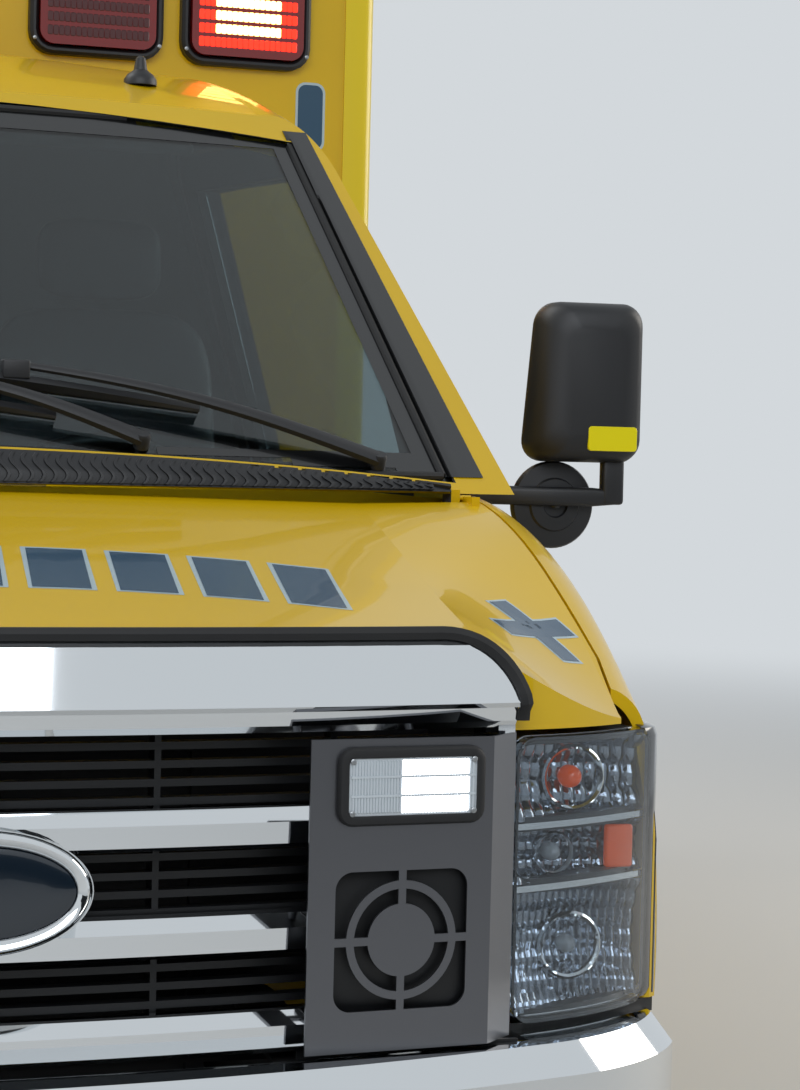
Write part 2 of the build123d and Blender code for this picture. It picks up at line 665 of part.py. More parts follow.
# Headlamps: a clear cover over a bright housing with three chambers
lamp_inner_x, lamp_outer_x = 693.0, 932.0
lamp_low, lamp_high = 656.0, 1016.0
lamp_cover = 5.0
lamp_depth = 26.0
support_at = 420.0
lamp_chambers = [(912.0, 1004.0), (834.0, 894.0), (668.0, 816.0)]
lamp_solid = nose_plan(-2, 600, 1100) & rounded_y(lamp_inner_x, lamp_outer_x, lamp_low, lamp_high, 60,
                                                  support_at - seat_gap, 28)
lamp_solid = lamp_solid - block(910, 1000, fender_front - 4, 600, 600, 1100)
lamp_hollow = nose_plan(lamp_cover - 2, 600, 1100) & rounded_y(
    lamp_inner_x + lamp_cover, lamp_outer_x - lamp_cover, lamp_low + lamp_cover, lamp_high - lamp_cover,
    60, support_at + 9, 24)
lamp_lens = (lamp_solid - lamp_hollow) - nose_plan(lamp_depth, 600, 1100)
write("headlights", *both_sides(lamp_lens))
lamp_housing = lamp_solid & nose_plan(lamp_depth + seat_gap, 600, 1100)
for low, high in lamp_chambers:
    chamber = rounded_y(lamp_inner_x + 12, lamp_outer_x - 12, low, high, 60, 600, 20)
    lamp_housing = lamp_housing - (chamber - nose_plan(lamp_depth + 55, 600, 1100))
write("headlight_housings", *both_sides(lamp_housing))

# Radiator support: the black panel that carries the grille, the headlamps and the radiator
support_thickness = 12.0
core_half = 335.0
radiator_support = block(-880, 880, support_at, support_at + support_thickness, rail_top + seat_gap, 1010)
radiator_support = radiator_support + block(-core_half - 24, core_half + 24, support_at,
                                            support_at + support_thickness, 500, 1010)
radiator_support = radiator_support - block(-core_half, core_half, support_at - 5, support_at + 20, 540, 980)
radiator_support = radiator_support + block(-core_half - 20, core_half + 20, support_at + support_thickness,
                                            support_at + 52, 520, 1000)
for side in (-1, 1):
    x_near, x_far = sorted((side * 655, side * 690))
    cheek = block(x_near, x_far, 60, support_at + 2, 660, 1040) & nose_plan(60 + seat_gap, 600, 1100)
    radiator_support = radiator_support + cheek
write("radiator_support", radiator_support)

# Ladder frame: two channel rails, cross members, bumper brackets and outriggers
rail_outer = frame_width / 2
rail_bottom = rail_top - rail_height
rail_profile = [(rail_front, 560.0), (rail_front + 330, rail_bottom), (rail_rear, rail_bottom),
                (rail_rear, rail_top), (rail_front + 200, rail_top), (rail_front, rail_top - 48)]
rail = side_plate(rail_profile, rail_outer - rail_flange, rail_outer)
rail_pocket = side_plate([
    (rail_front + 20, 560.0 + rail_wall), (rail_front + 335, rail_bottom + rail_wall),
    (rail_rear + 10, rail_bottom + rail_wall), (rail_rear + 10, rail_top - rail_wall),
    (rail_front + 200, rail_top - rail_wall), (rail_front + 20, rail_top - 52)],
    rail_outer - rail_flange - 5, rail_outer - rail_wall)
rail = rail - rail_pocket
frame = rail + mirror(rail, Plane.YZ)
cross_members = [(340.0, 60.0), (2350.0, 60.0), (3450.0, 60.0), (4380.0, 60.0), (5280.0, 60.0),
                 (rail_rear - 60, 60.0)]
for start, depth in cross_members:
    frame = frame + block(-rail_outer + rail_wall - 1, rail_outer - rail_wall + 1, start, start + depth,
                          rail_top - 84, rail_top - 12)
horn_end = 20.0
for side in (-1, 1):
    x_near, x_far = sorted((side * 350, side * 432))
    horn = block(x_near, x_far, horn_end, rail_front + 4, 560, 632)
    frame = frame + (horn & bumper_form(bumper_wall + seat_gap, 430.0))
spring_seat_x = 486.0
seat_arm = 90.0
for side in (-1, 1):
    x_near, x_far = sorted((side * (rail_outer - 2), side * (rail_outer + seat_arm)))
    frame = frame + block(x_near, x_far, front_overhang - 60, front_overhang + 60, 640, rail_top)
    x_near, x_far = sorted((side * (rail_outer - 2), side * (rail_outer + 70)))
    frame = frame + (block(x_near, x_far, 1280, 1320, 470, 600) - rod(
        at(side * 400, 1262, 500.5), at(side * 600, 1262, 500.5), 22))
write("frame", frame)

# Engine: one plain block on two mounts
engine_half = 270.0
gearbox_radius = 104.0
gearbox_end = 1780.0
engine_from, engine_to = 490.0, 1260.0
engine = rounded_z(-engine_half, engine_half, engine_from, engine_to, 470, 1040, 40)
engine = engine - block(-600, 600, front_overhang - 60, front_overhang + 60, 400, 500)
for side in (-1, 1):
    x_near, x_far = sorted((side * (engine_half - 5), side * (rail_outer - rail_wall - seat_gap)))
    engine = engine + block(x_near, x_far, 700, 780, 560, 620)
gearbox = rod(at(0, engine_to - 5, 578), at(0, gearbox_end, 560), gearbox_radius)
engine = engine + gearbox
write("engine", engine)

# Front axle: a forged beam with kingpin eyes, coil springs and radius arms
beam = side_plate([(front_overhang - 38, 330), (front_overhang + 38, 330), (front_overhang + 38, 348),
                   (front_overhang + 12, 354), (front_overhang + 12, 390), (front_overhang + 38, 396),
                   (front_overhang + 38, 414), (front_overhang - 38, 414), (front_overhang - 38, 396),
                   (front_overhang - 12, 390), (front_overhang - 12, 354), (front_overhang - 38, 348)],
                  -kingpin_x + 20, kingpin_x - 20)
eye_radius = 34.0
eye_half = 42.0
kingpin_radius = 14.0
kingpin_half = 74.0
front_axle = beam
arm_x = 478.0
for side in (-1, 1):
    foot = at(side * kingpin_x, front_overhang, axle_height - eye_half)
    front_axle = front_axle + rod(foot, foot + Vector(0, 0, 2 * eye_half), eye_radius)
    pin_foot = at(side * kingpin_x, front_overhang, axle_height - kingpin_half)
    front_axle = front_axle + rod(pin_foot, pin_foot + Vector(0, 0, 2 * kingpin_half), kingpin_radius)
    seat = at(side * arm_x, front_overhang, 410)
    front_axle = front_axle + rod(seat, seat + Vector(0, 0, 12), 44)
    turns, wire_radius, coil_radius = 5, 7.5, 36.0
    spring_height = 638 - seat_gap - 422
    pitch = (spring_height - 2 * wire_radius) / turns
    coil_path = Pos(side * arm_x, station(front_overhang), 422 + wire_radius - 3) * Helix(pitch, pitch * turns, coil_radius)
    coil_start = Plane(coil_path @ 0, z_dir=coil_path % 0)
    front_axle = front_axle + sweep(coil_start * Circle(wire_radius), path=coil_path, is_frenet=True)
    top_ring = at(side * arm_x, front_overhang, 640 - seat_gap - 9)
    front_axle = front_axle + (rod(top_ring, top_ring + Vector(0, 0, 9), coil_radius + wire_radius))
    arm = rod(at(side * arm_x, front_overhang + 4, 372), at(side * arm_x, 1260, 500), 20)
    front_axle = front_axle + arm
write("front_axle", front_axle)

# Knuckles, each on its kingpin, with a spindle for the front wheel
knuckle_plate_x = 838.0
knuckle_plate = 24.0
ear_thickness = 24.0
spindle_end = 985.0
knuckle = block(knuckle_plate_x, knuckle_plate_x + knuckle_plate, front_overhang - 42, front_overhang + 42,
                axle_height - 72, axle_height + 72)
for low in (axle_height + eye_half + seat_gap, axle_height - eye_half - seat_gap - ear_thickness):
    ear = rod(at(kingpin_x, front_overhang, low), at(kingpin_x, front_overhang, low + ear_thickness), eye_radius)
    ear = ear + block(kingpin_x, knuckle_plate_x + 2, front_overhang - eye_radius, front_overhang + eye_radius,
                      low, low + ear_thickness)
    knuckle = knuckle + ear
knuckle = knuckle - rod(at(kingpin_x, front_overhang, 200), at(kingpin_x, front_overhang, 560),
                        kingpin_radius + pin_gap)
knuckle = knuckle + rod(at(knuckle_plate_x + 5, front_overhang, axle_height),
                        at(spindle_end, front_overhang, axle_height), spindle_radius)
steer_low = axle_height - eye_half - seat_gap - ear_thickness
knuckle = knuckle + block(kingpin_x - 16, kingpin_x + 16, front_overhang + 20, front_overhang + 165,
                          steer_low, steer_low + 20)
write("left_knuckle", knuckle)
write("right_knuckle", mirror(knuckle, Plane.YZ))

# Wheels. Outline of a pressed-steel rim in (radius, offset), facing outboard.
lip_offset = rim_width / 2 + rim_wall
drop_radius = rim_radius - 25.0
disc_thickness = 9.0
hand_holes = 8


def rim_outline():
    """The outline of one rim with its disc, revolved about the wheel's axis."""
    half = rim_width / 2
    inner = drop_radius - rim_wall
    return [
        (rim_radius + rim_lip, -lip_offset), (rim_radius + rim_lip, -half), (rim_radius, -half + 2),
        (rim_radius - 2, -half + 26), (drop_radius, -24), (drop_radius, 24), (rim_radius - 2, half - 26),
        (rim_radius, half - 2), (rim_radius + rim_lip, half), (rim_radius + rim_lip, lip_offset),
        (rim_radius - 6, lip_offset), (rim_radius - 10, half - 22), (inner, 26), (inner - 6, 40),
        (inner - 22, disc_offset - 16), (inner - 40, disc_offset), (hub_radius - 10, disc_offset),
        (hub_radius - 10, disc_offset - disc_thickness), (inner - 44, disc_offset - disc_thickness),
        (inner - 31, disc_offset - 24), (inner - 14, 34), (inner, -26), (rim_radius - 10, -half + 22),
        (rim_radius - 6, -lip_offset),
    ]


def revolved(outline):
    """A ring from an outline of (radius, offset) about the local Z axis."""
    return revolve(make_face(Polyline(*[(r, 0, o) for r, o in outline], close=True)), Axis.Z)


def rim(facing):
    """One rim about local Z; its disc faces along +Z or, with facing -1, along -Z."""
    wheel = revolved(rim_outline())
    hole_radius = 19.0
    ring = drop_radius - rim_wall - 19
    for i in range(hand_holes):
        turn = radians(360 / hand_holes * i)
        hole = Cylinder(hole_radius, 60, align=(Align.CENTER, Align.CENTER, Align.MIN))
        wheel = wheel - Pos(ring * cos(turn), ring * sin(turn), 50) * hole
    return wheel if facing > 0 else mirror(wheel, Plane.XY)


def tyre():
    """One tyre about local Z: beads, bulging sidewalls and a crowned tread."""
    half = tyre_width / 2
    outer = tyre_diameter / 2
    bead = rim_width / 2 - 0.8
    bore = rim_radius + 0.6
    lip_top = rim_radius + rim_lip + 2

    def p(radius, offset):
        return Vector(radius, 0, offset)

    edges = [
        Line(p(bore, 2 - bead), p(bore, bead - 2)), Line(p(bore, bead - 2), p(lip_top, bead)),
        Line(p(lip_top, bead), p(lip_top + 4, bead + 9)),
        ThreePointArc(p(lip_top + 4, bead + 9), p(outer - 84, half), p(outer - 26, half - 10)),
        ThreePointArc(p(outer - 26, half - 10), p(outer - 9, half - 17), p(outer - 2, half - 32)),
        ThreePointArc(p(outer - 2, half - 32), p(outer, 0), p(outer - 2, 32 - half)),
        ThreePointArc(p(outer - 2, 32 - half), p(outer - 9, 17 - half), p(outer - 26, 10 - half)),
        ThreePointArc(p(outer - 26, 10 - half), p(outer - 84, -half), p(lip_top + 4, -bead - 9)),
        Line(p(lip_top + 4, -bead - 9), p(lip_top, -bead)), Line(p(lip_top, -bead), p(bore, 2 - bead)),
    ]
    return revolve(make_face(Wire(edges)), Axis.Z)


def on_axle(shape, side, x, distance):
    """Places a wheel piece at an X on its side of an axle, facing outboard."""
    return Pos(side * x, station(distance), axle_height) * Rot(0, 90 * side, 0) * shape


front_rim_x = front_track / 2
hub_inner = 868.0
front_rim = rim(1)
hub_start = hub_inner - front_rim_x
front_hub = Pos(0, 0, hub_start) * Cylinder(hub_radius, disc_offset - hub_start,
                                           align=(Align.CENTER, Align.CENTER, Align.MIN))
front_cap = Pos(0, 0, disc_offset) * Cylinder(46, 34, align=(Align.CENTER, Align.CENTER, Align.MIN))
front_bore = Pos(0, 0, hub_start - 5) * Cylinder(spindle_radius + pin_gap, spindle_end - hub_inner + 10,
                                                 align=(Align.CENTER, Align.CENTER, Align.MIN))
brake_disc = Pos(0, 0, 886 - front_rim_x) * Cylinder(148, 20, align=(Align.CENTER, Align.CENTER, Align.MIN))
front_wheel = front_rim + front_hub + front_cap + brake_disc - front_bore
rear_pair = (Pos(0, 0, -disc_offset) * rim(1)) + (Pos(0, 0, disc_offset) * rim(-1))
rear_hub = Pos(0, 0, -96) * Cylinder(68, 170, align=(Align.CENTER, Align.CENTER, Align.MIN))
rear_bore = Pos(0, 0, -100) * Cylinder(rear_spindle_radius + pin_gap, 110,
                                       align=(Align.CENTER, Align.CENTER, Align.MIN))
rear_pair = rear_pair + rear_hub - rear_bore
one_tyre = tyre()
for name, side in (("left", 1), ("right", -1)):
    write(f"{name}_front_rim", on_axle(front_wheel, side, front_rim_x, front_overhang))
    write(f"{name}_front_tyre", on_axle(one_tyre, side, front_rim_x, front_overhang))
    write(f"{name}_rear_rims", on_axle(rear_pair, side, twin_mount_x, rear_axle_at))
    write(f"{name}_rear_tyres",
          on_axle(one_tyre, side, twin_mount_x - disc_offset, rear_axle_at),
          on_axle(one_tyre, side, twin_mount_x + disc_offset, rear_axle_at))

# Rear axle: banjo housing with brake drums, leaf springs and a drive shaft's nose
tube_radius = 48.0
drum_radius = 158.0
rear_axle = rod(at(-820, rear_axle_at, axle_height), at(820, rear_axle_at, axle_height), tube_radius)
banjo = Pos(0, station(rear_axle_at), axle_height) * Rot(0, 90, 0) * revolve(
    make_face(Wire([Line((0, 0, -190), (0, 0, 190)), Line((0, 0, 190), (60, 0, 190)),
                    ThreePointArc((60, 0, 190), (158, 0, 0), (60, 0, -190)),
                    Line((60, 0, -190), (0, 0, -190))])), Axis.Z)
pinion_nose = rod(at(0, rear_axle_at - 250, axle_height + 20), at(0, rear_axle_at - 100, axle_height + 5), 62)
rear_axle = rear_axle + banjo + pinion_nose
leaf_x = 532.0
leaf_half_width = 38.0
leaf_drop = 62.0
leaf_reach = 760.0
leaf_seat_z = axle_height + tube_radius
for side in (-1, 1):
    rear_axle = rear_axle + rod(at(side * 768, rear_axle_at, axle_height),
                                at(side * 838, rear_axle_at, axle_height), drum_radius)
    rear_axle = rear_axle + rod(at(side * 830, rear_axle_at, axle_height),
                                at(side * (twin_mount_x + 4), rear_axle_at, axle_height), rear_spindle_radius)
    x_near, x_far = sorted((side * (leaf_x - leaf_half_width), side * (leaf_x + leaf_half_width)))
    leaf = None
    for i, reach in enumerate((leaf_reach, 610.0, 430.0)):
        low = leaf_seat_z + 30 - i * 12
        rise = leaf_drop * (reach / leaf_reach) ** 2
        arc = [at(x_near, rear_axle_at - reach, low + rise), at(x_near, rear_axle_at, low),
               at(x_near, rear_axle_at + reach, low + rise)]
        up = Vector(0, 0, 12)
        face = make_face(Wire([ThreePointArc(*arc), Line(arc[2], arc[2] + up),
                               ThreePointArc(arc[2] + up, arc[1] + up, arc[0] + up), Line(arc[0] + up, arc[0])]))
        blade = extrude(face, amount=x_far - x_near, dir=(1, 0, 0))
        leaf = blade if leaf is None else leaf + blade
    pad = block(x_near - 4, x_far + 4, rear_axle_at - 60, rear_axle_at + 60, axle_height - 20, leaf_seat_z + 22)
    rear_axle = rear_axle + leaf + pad
    for end in (-1, 1):
        eye_at = rear_axle_at + end * leaf_reach
        eye = rod(at(x_near, eye_at, leaf_seat_z + 30 + leaf_drop + 6), at(x_far, eye_at, leaf_seat_z + 30 + leaf_drop + 6), 22)
        rear_axle = rear_axle + eye
        hanger = block(x_near, x_far, eye_at - 20, eye_at + 20, leaf_seat_z + leaf_drop + 36, 600)
        bracket = block(*sorted((side * (rail_outer + seat_gap), x_far if side > 0 else x_near)), eye_at - 30, eye_at + 30,
                        585, 625)
        rear_axle = rear_axle + hanger + bracket
write("rear_axle", rear_axle)

# Drive shaft, exhaust and fuel tank
shaft_radius = 44.0
shaft_start = at(0, gearbox_end + 0.9, 560)
shaft_end = at(0, rear_axle_at - 250.9, axle_height + 20)
shaft_run = (shaft_end - shaft_start).normalized()
yoke_radius, yoke_length = 16.0, 50.0
drive_shaft = rod(shaft_start, shaft_end, yoke_radius)
drive_shaft = drive_shaft + rod(shaft_start + shaft_run * yoke_length, shaft_end - shaft_run * yoke_length,
                                shaft_radius)
write("drive_shaft", drive_shaft)
exhaust_x = -520.0
pipe_radius = 34.0
silencer_radius = 88.0
tail_pipe_end = -1190.0
tail_pipe_at = 4090.0
tail_pipe_z = 418.0
exhaust_route = [at(-70, 1440, 540), at(-240, 1520, 455), at(-440, 1600, 455), at(exhaust_x, 1720, 500),
                 at(exhaust_x, 1900, 590), at(exhaust_x, 3890, 590), at(-700, 4040, 480),
                 at(-980, tail_pipe_at, tail_pipe_z), at(tail_pipe_end, tail_pipe_at, tail_pipe_z)]
pipe_bend = 80.0
pipe_line = FilletPolyline(*exhaust_route, radius=pipe_bend)
exhaust = sweep(Plane(pipe_line @ 0, z_dir=pipe_line % 0) * Circle(pipe_radius), path=pipe_line)
exhaust = exhaust + rod(at(exhaust_x, 2600, 590), at(exhaust_x, 3300, 590), silencer_radius)
exhaust = exhaust - rod(at(tail_pipe_end + 150, tail_pipe_at, tail_pipe_z),
                        at(tail_pipe_end - 5, tail_pipe_at, tail_pipe_z), pipe_radius - 3)
exhaust = exhaust - rod(at(0, engine_to - 60, 580), at(0, gearbox_end, 560), gearbox_radius + seat_gap)
exhaust = exhaust + block(exhaust_x - 8, exhaust_x + 8, 2100, 2120, 600, cab_floor_z - seat_gap)
exhaust = exhaust + block(exhaust_x - 8, exhaust_x + 8, 3440, 3460, 600, 700 - seat_gap)
write("exhaust", exhaust)
fuel_tank = rounded_y(-330, 330, 395, 640, 5400, 6010, 50)
fuel_tank = fuel_tank + block(-120, 120, 5560, 5600, 630, 700 - seat_gap)
fuel_tank = fuel_tank + block(-120, 120, 5820, 5860, 630, 700 - seat_gap)
write("fuel_tank", fuel_tank)

# Patient box: floor, roof and four walls of aluminium, with lockers let into the sides
half_box = box_width / 2
inner_half = half_box - box_wall
wall_top = 2600.0
box_inner_from = box_start + box_wall
box_inner_to = box_end - box_wall
floor_thickness = 60.0
box_arch = 455.0
arch_cover = 15.0
arch_inner_x = 690.0
underside = box_floor_top - floor_thickness

# Lockers and doors in the side walls. Columns: side, from, to, bottom, top.
locker_rows = {
    "left_front_locker_door": (1, 2440.0, 3000.0, 500.0, 2000.0),
    "left_rear_locker_door": (1, 5400.0, 6060.0, 500.0, 1500.0),
    "right_rear_locker_door": (-1, 5400.0, 6060.0, 500.0, 2150.0),
}
entry_row = (-1, 2480.0, 3230.0, 520.0, 2420.0)
entry_window = (2640.0, 3080.0, 1640.0, 2200.0)
hinge_offset = 6.0
barrel_radius = 5.0
hinge_pin_radius = 2.5
hinge_half = 25.0
hinge_leaf = 16.0


def to_side(side, shape):
    """Leaves a left-hand shape as it is, or mirrors it to the right."""
    return shape if side > 0 else mirror(shape, Plane.YZ)


def side_hinges(row):
    """The fixed and the moving halves of a side door's three hinges, for the left side."""
    side, y_from, y_to, z_from, z_to = row
    pivot_x, pivot_y = half_box + hinge_offset, y_from - door_gap / 2
    fixed, moving = [], []
    for share in (0.12, 0.5, 0.86):
        z = z_from + share * (z_to - z_from)
        pin = rod(at(pivot_x, pivot_y, z), at(pivot_x, pivot_y, z + 2 * hinge_half), hinge_pin_radius)
        low = rod(at(pivot_x, pivot_y, z), at(pivot_x, pivot_y, z + hinge_half), barrel_radius)
        leaf = block(half_box - 1, pivot_x, pivot_y - hinge_leaf, pivot_y - 3.2, z, z + hinge_half)
        link = block(half_box + 0.8, pivot_x, pivot_y - 4, pivot_y, z, z + hinge_half)
        fixed.append(low + leaf + link + pin)
        start = z + hinge_half + seat_gap
        high = rod(at(pivot_x, pivot_y, start), at(pivot_x, pivot_y, z + 2 * hinge_half), barrel_radius)
        leaf = block(half_box - 1, pivot_x, pivot_y + 3.2, pivot_y + hinge_leaf, start, z + 2 * hinge_half)
        link = block(half_box + 0.8, pivot_x, pivot_y, pivot_y + 4, start, z + 2 * hinge_half)
        bore = rod(at(pivot_x, pivot_y, z - 5), at(pivot_x, pivot_y, z + 2 * hinge_half + 5),
                   hinge_pin_radius + pin_gap)
        moving.append((high + leaf + link) - bore)
    return fixed, moving


def side_opening(row):
    """The hole in the left wall that a door fills, with a gap all round."""
    side, y_from, y_to, z_from, z_to = row
    return rounded_x(y_from - door_gap, y_to + door_gap, z_from - door_gap, z_to + door_gap,
                     inner_half - 20, half_box + 20, 24)


def side_leaf(row, thickness):
    """A flush door leaf in the left wall."""
    side, y_from, y_to, z_from, z_to = row
    return rounded_x(y_from, y_to, z_from, z_to, half_box - thickness, half_box, 18)


side_wall = block(inner_half, half_box, box_inner_from, box_inner_to, skirt_bottom, wall_top)
side_wall = side_wall - wheel_drum(inner_half - 20, half_box + 20, rear_axle_at, box_arch)
walls = {1: side_wall, -1: side_wall}
door_rows = dict(locker_rows)
door_rows["side_door"] = entry_row
for name, row in door_rows.items():
    side = row[0]
    fixed, moving = side_hinges(row)
    walls[side] = walls[side] - side_opening(row)
    for piece in fixed:
        walls[side] = walls[side] + piece
    leaf = side_leaf(row, compartment_door)
    for piece in moving:
        leaf = leaf + piece
    if name == "side_door":
        leaf = leaf - rounded_x(*entry_window, half_box - 100, half_box + 20, 50)
        glass = rounded_x(entry_window[0] + seat_gap, entry_window[1] - seat_gap,
                          entry_window[2] + seat_gap, entry_window[3] - seat_gap,
                          half_box - 26, half_box - 26 + glass_thickness, 50 - seat_gap)
        write("side_door_glass", to_side(side, glass))
    write(name, to_side(side, leaf))
write("box_left_wall", walls[1])
write("box_right_wall", to_side(-1, walls[-1]))

# Front wall with its corner posts and the way through to the cab
front_wall = rounded_z(-half_box, half_box, box_start, box_start + 300, skirt_bottom, wall_top, 40)
front_wall = front_wall & block(-half_box, half_box, box_start, box_inner_from, skirt_bottom, wall_top)
front_wall = front_wall - block(-620, 620, box_start - 5, box_inner_from + 5, skirt_bottom - 5, underside)
front_wall = front_wall - rounded_y(-passage_half, passage_half, passage_bottom, passage_top,
                                    box_start - 5, box_inner_from + 5, 60)
write("box_front_wall", front_wall)

# Rear frame and its two doors
rear_frame = rounded_z(-half_box, half_box, box_end - 300, box_end, skirt_bottom, wall_top, 40)
rear_frame = rear_frame & block(-half_box, half_box, box_inner_to, box_end, skirt_bottom, wall_top)
rear_frame = rear_frame - block(-620, 620, box_inner_to - 5, box_end + 5, skirt_bottom - 5, underside)
rear_frame = rear_frame - rounded_y(-rear_opening_half - door_gap, rear_opening_half + door_gap,
                                    rear_opening_bottom - door_gap, rear_opening_top + door_gap,
                                    box_inner_to - 5, box_end + 5, 24)
rear_pivot = (rear_opening_half + door_gap / 2, box_end + hinge_offset)
rear_leaf_thickness = 50.0
rear_window = (170.0, 540.0, 1620.0, 2180.0)
rear_leaf = rounded_y(door_gap / 2, rear_opening_half, rear_opening_bottom, rear_opening_top,
                      box_end - rear_leaf_thickness, box_end, 18)
for share in (0.1, 0.48, 0.86):
    z = rear_opening_bottom + share * (rear_opening_top - rear_opening_bottom)
    top = z + 2 * hinge_half
    pin = rod(at(*rear_pivot, z), at(*rear_pivot, top), hinge_pin_radius)
    low = rod(at(*rear_pivot, z), at(*rear_pivot, z + hinge_half), barrel_radius)
    leaf = block(rear_pivot[0] + 3.2, rear_pivot[0] + hinge_leaf, box_end - 1, rear_pivot[1], z, z + hinge_half)
    link = block(rear_pivot[0], rear_pivot[0] + 4, box_end + 0.8, rear_pivot[1], z, z + hinge_half)
    for piece in both_sides(low + leaf + link + pin):
        rear_frame = rear_frame + piece
    start = z + hinge_half + seat_gap
    high = rod(at(*rear_pivot, start), at(*rear_pivot, top), barrel_radius)
    leaf = block(rear_pivot[0] - hinge_leaf, rear_pivot[0] - 3.2, box_end - 1, rear_pivot[1], start, top)
    link = block(rear_pivot[0] - 4, rear_pivot[0], box_end + 0.8, rear_pivot[1], start, top)
    bore = rod(at(*rear_pivot, z - 5), at(*rear_pivot, top + 5), hinge_pin_radius + pin_gap)
    rear_leaf = rear_leaf + ((high + leaf + link) - bore)
rear_leaf = rear_leaf - rounded_y(*rear_window, box_end - 100, box_end + 20, 50)
rear_glass = rounded_y(rear_window[0] + seat_gap, rear_window[1] - seat_gap, rear_window[2] + seat_gap,
                       rear_window[3] - seat_gap, box_end - 28, box_end - 28 + glass_thickness, 50 - seat_gap)
write("box_rear_frame", rear_frame)
for name, side in (("left", 1), ("right", -1)):
    write(f"{name}_rear_door", to_side(side, rear_leaf))
    write(f"{name}_rear_glass", to_side(side, rear_glass))

# Roof, with rounded cap rails
roof = rounded_y(-half_box, half_box, wall_top - 200, box_top, box_start, box_end, 60)
roof = roof & block(-half_box, half_box, box_start, box_end, wall_top, box_top)
roof = roof - block(-inner_half, inner_half, box_inner_from, box_inner_to, wall_top - 5, box_top - box_wall)
write("box_roof", roof)

# Floor with its subframe, wheel covers and the entry step
box_floor = block(-inner_half, inner_half, box_inner_from, box_inner_to, underside, box_floor_top)
entry_depth = 330.0
for side in (-1, 1):
    x_near, x_far = sorted((side * arch_inner_x, side * inner_half))
    box_floor = box_floor - wheel_drum(x_near, x_far, rear_axle_at, box_arch + arch_cover)
    x_near, x_far = sorted((side * (arch_inner_x - arch_cover), side * (inner_half - seat_gap)))
    cover = wheel_drum(x_near, x_far, rear_axle_at, box_arch + arch_cover)
    x_near, x_far = sorted((side * arch_inner_x, side * (inner_half + 5)))
    cover = cover - wheel_drum(x_near, x_far, rear_axle_at, box_arch)
    box_floor = box_floor + (cover & block(-1200, 1200, 4000, 5600, underside - 60, 900))
    x_near, x_far = sorted((side * (rail_outer - rail_flange), side * rail_outer))
    box_floor = box_floor + block(x_near, x_far, box_inner_from, box_inner_to, rail_top + seat_gap, underside + 1)
step_from, step_to = entry_row[1], entry_row[2]
box_floor = box_floor - block(-inner_half - 5, -inner_half + entry_depth, step_from, step_to,
                              underside - 5, box_floor_top + 5)
step_well = block(-inner_half + seat_gap, -inner_half + entry_depth + 12, step_from - 12, step_to + 12,
                  500, box_floor_top)
step_well = step_well - block(-inner_half - 5, -inner_half + entry_depth, step_from, step_to, 512, 800)
box_floor = box_floor + step_well
deck_half = 605.0
deck_rise = 3.0
box_floor = box_floor + block(-deck_half, deck_half, box_inner_from + 10, box_inner_to - 10,
                              box_floor_top - 5, box_floor_top + deck_rise)
compartment_inset = 30.0


def locker_shell(row):
    """A thin-walled locker behind a side door, open on its outer side."""
    side, y_from, y_to, z_from, z_to = row
    outer = block(inner_half - compartment_depth, inner_half - seat_gap, y_from - compartment_inset,
                  y_to + compartment_inset, z_from - 20, z_to + 20)
    inner = block(inner_half - compartment_depth + compartment_wall, inner_half + 5,
                  y_from - compartment_inset + compartment_wall, y_to + compartment_inset - compartment_wall,
                  z_from - 20 + compartment_wall, z_to + 20 - compartment_wall)
    return outer - inner


lockers = {1: None, -1: None}
for row in locker_rows.values():
    side = row[0]
    shell = locker_shell(row)
    lockers[side] = shell if lockers[side] is None else lockers[side] + shell
    hole = block(inner_half - compartment_depth - seat_gap, inner_half + 5, row[1] - compartment_inset - seat_gap,
                 row[2] + compartment_inset + seat_gap, underside - 5, box_floor_top + 5)
    box_floor = box_floor - to_side(side, hole)
write("box_floor", box_floor)

# Cabinets between the lockers on the left, and the squad bench on the right
front_locker = locker_rows["left_front_locker_door"]
rear_locker = locker_rows["left_rear_locker_door"]
counter_from = front_locker[2] + compartment_inset - 1
counter_to = rear_locker[1] - compartment_inset + 1
counter = block(inner_half - compartment_depth, inner_half - seat_gap, counter_from, counter_to,
                box_floor_top + seat_gap, 1500)
counter = counter - block(inner_half - compartment_depth - 5, inner_half - 140, counter_from + 400,
                          counter_to - 900, 1120, 1460)
cupboards = block(inner_half - 360, inner_half - seat_gap, counter_from - 300, counter_to + 300, 2040, 2560)
left_cabinets = lockers[1] + counter + cupboards
left_cabinets = left_cabinets + block(inner_half - 40, inner_half - seat_gap, counter_from, counter_to, 1490, 2050)
left_cabinets = left_cabinets - wheel_drum(arch_inner_x - arch_cover - 5, 1300, rear_axle_at,
                                           box_arch + arch_cover + seat_gap)
write("left_cabinets", left_cabinets)
bench_row = locker_rows["right_rear_locker_door"]
bench_to = bench_row[1] - compartment_inset + 1
bench_from = bench_to - 1900
bench = block(inner_half - compartment_depth, inner_half - seat_gap, bench_from, bench_to,
              box_floor_top + seat_gap, 1130)
bench = bench - wheel_drum(arch_inner_x - arch_cover - 5, 1300, rear_axle_at, box_arch + arch_cover + seat_gap)
right_cabinets = lockers[-1] + bench
write("right_cabinets", to_side(-1, right_cabinets))
cushion = rounded_x(bench_from + 10, bench_to - 12, 1130 + seat_gap, 1210, inner_half - compartment_depth + 6,
                    inner_half - 90, 30)
cushion = cushion + rounded_x(bench_from + 10, bench_to - 12, 1130 + seat_gap, 1640, inner_half - 90,
                              inner_half - seat_gap, 30)
write("bench_cushions", to_side(-1, cushion))

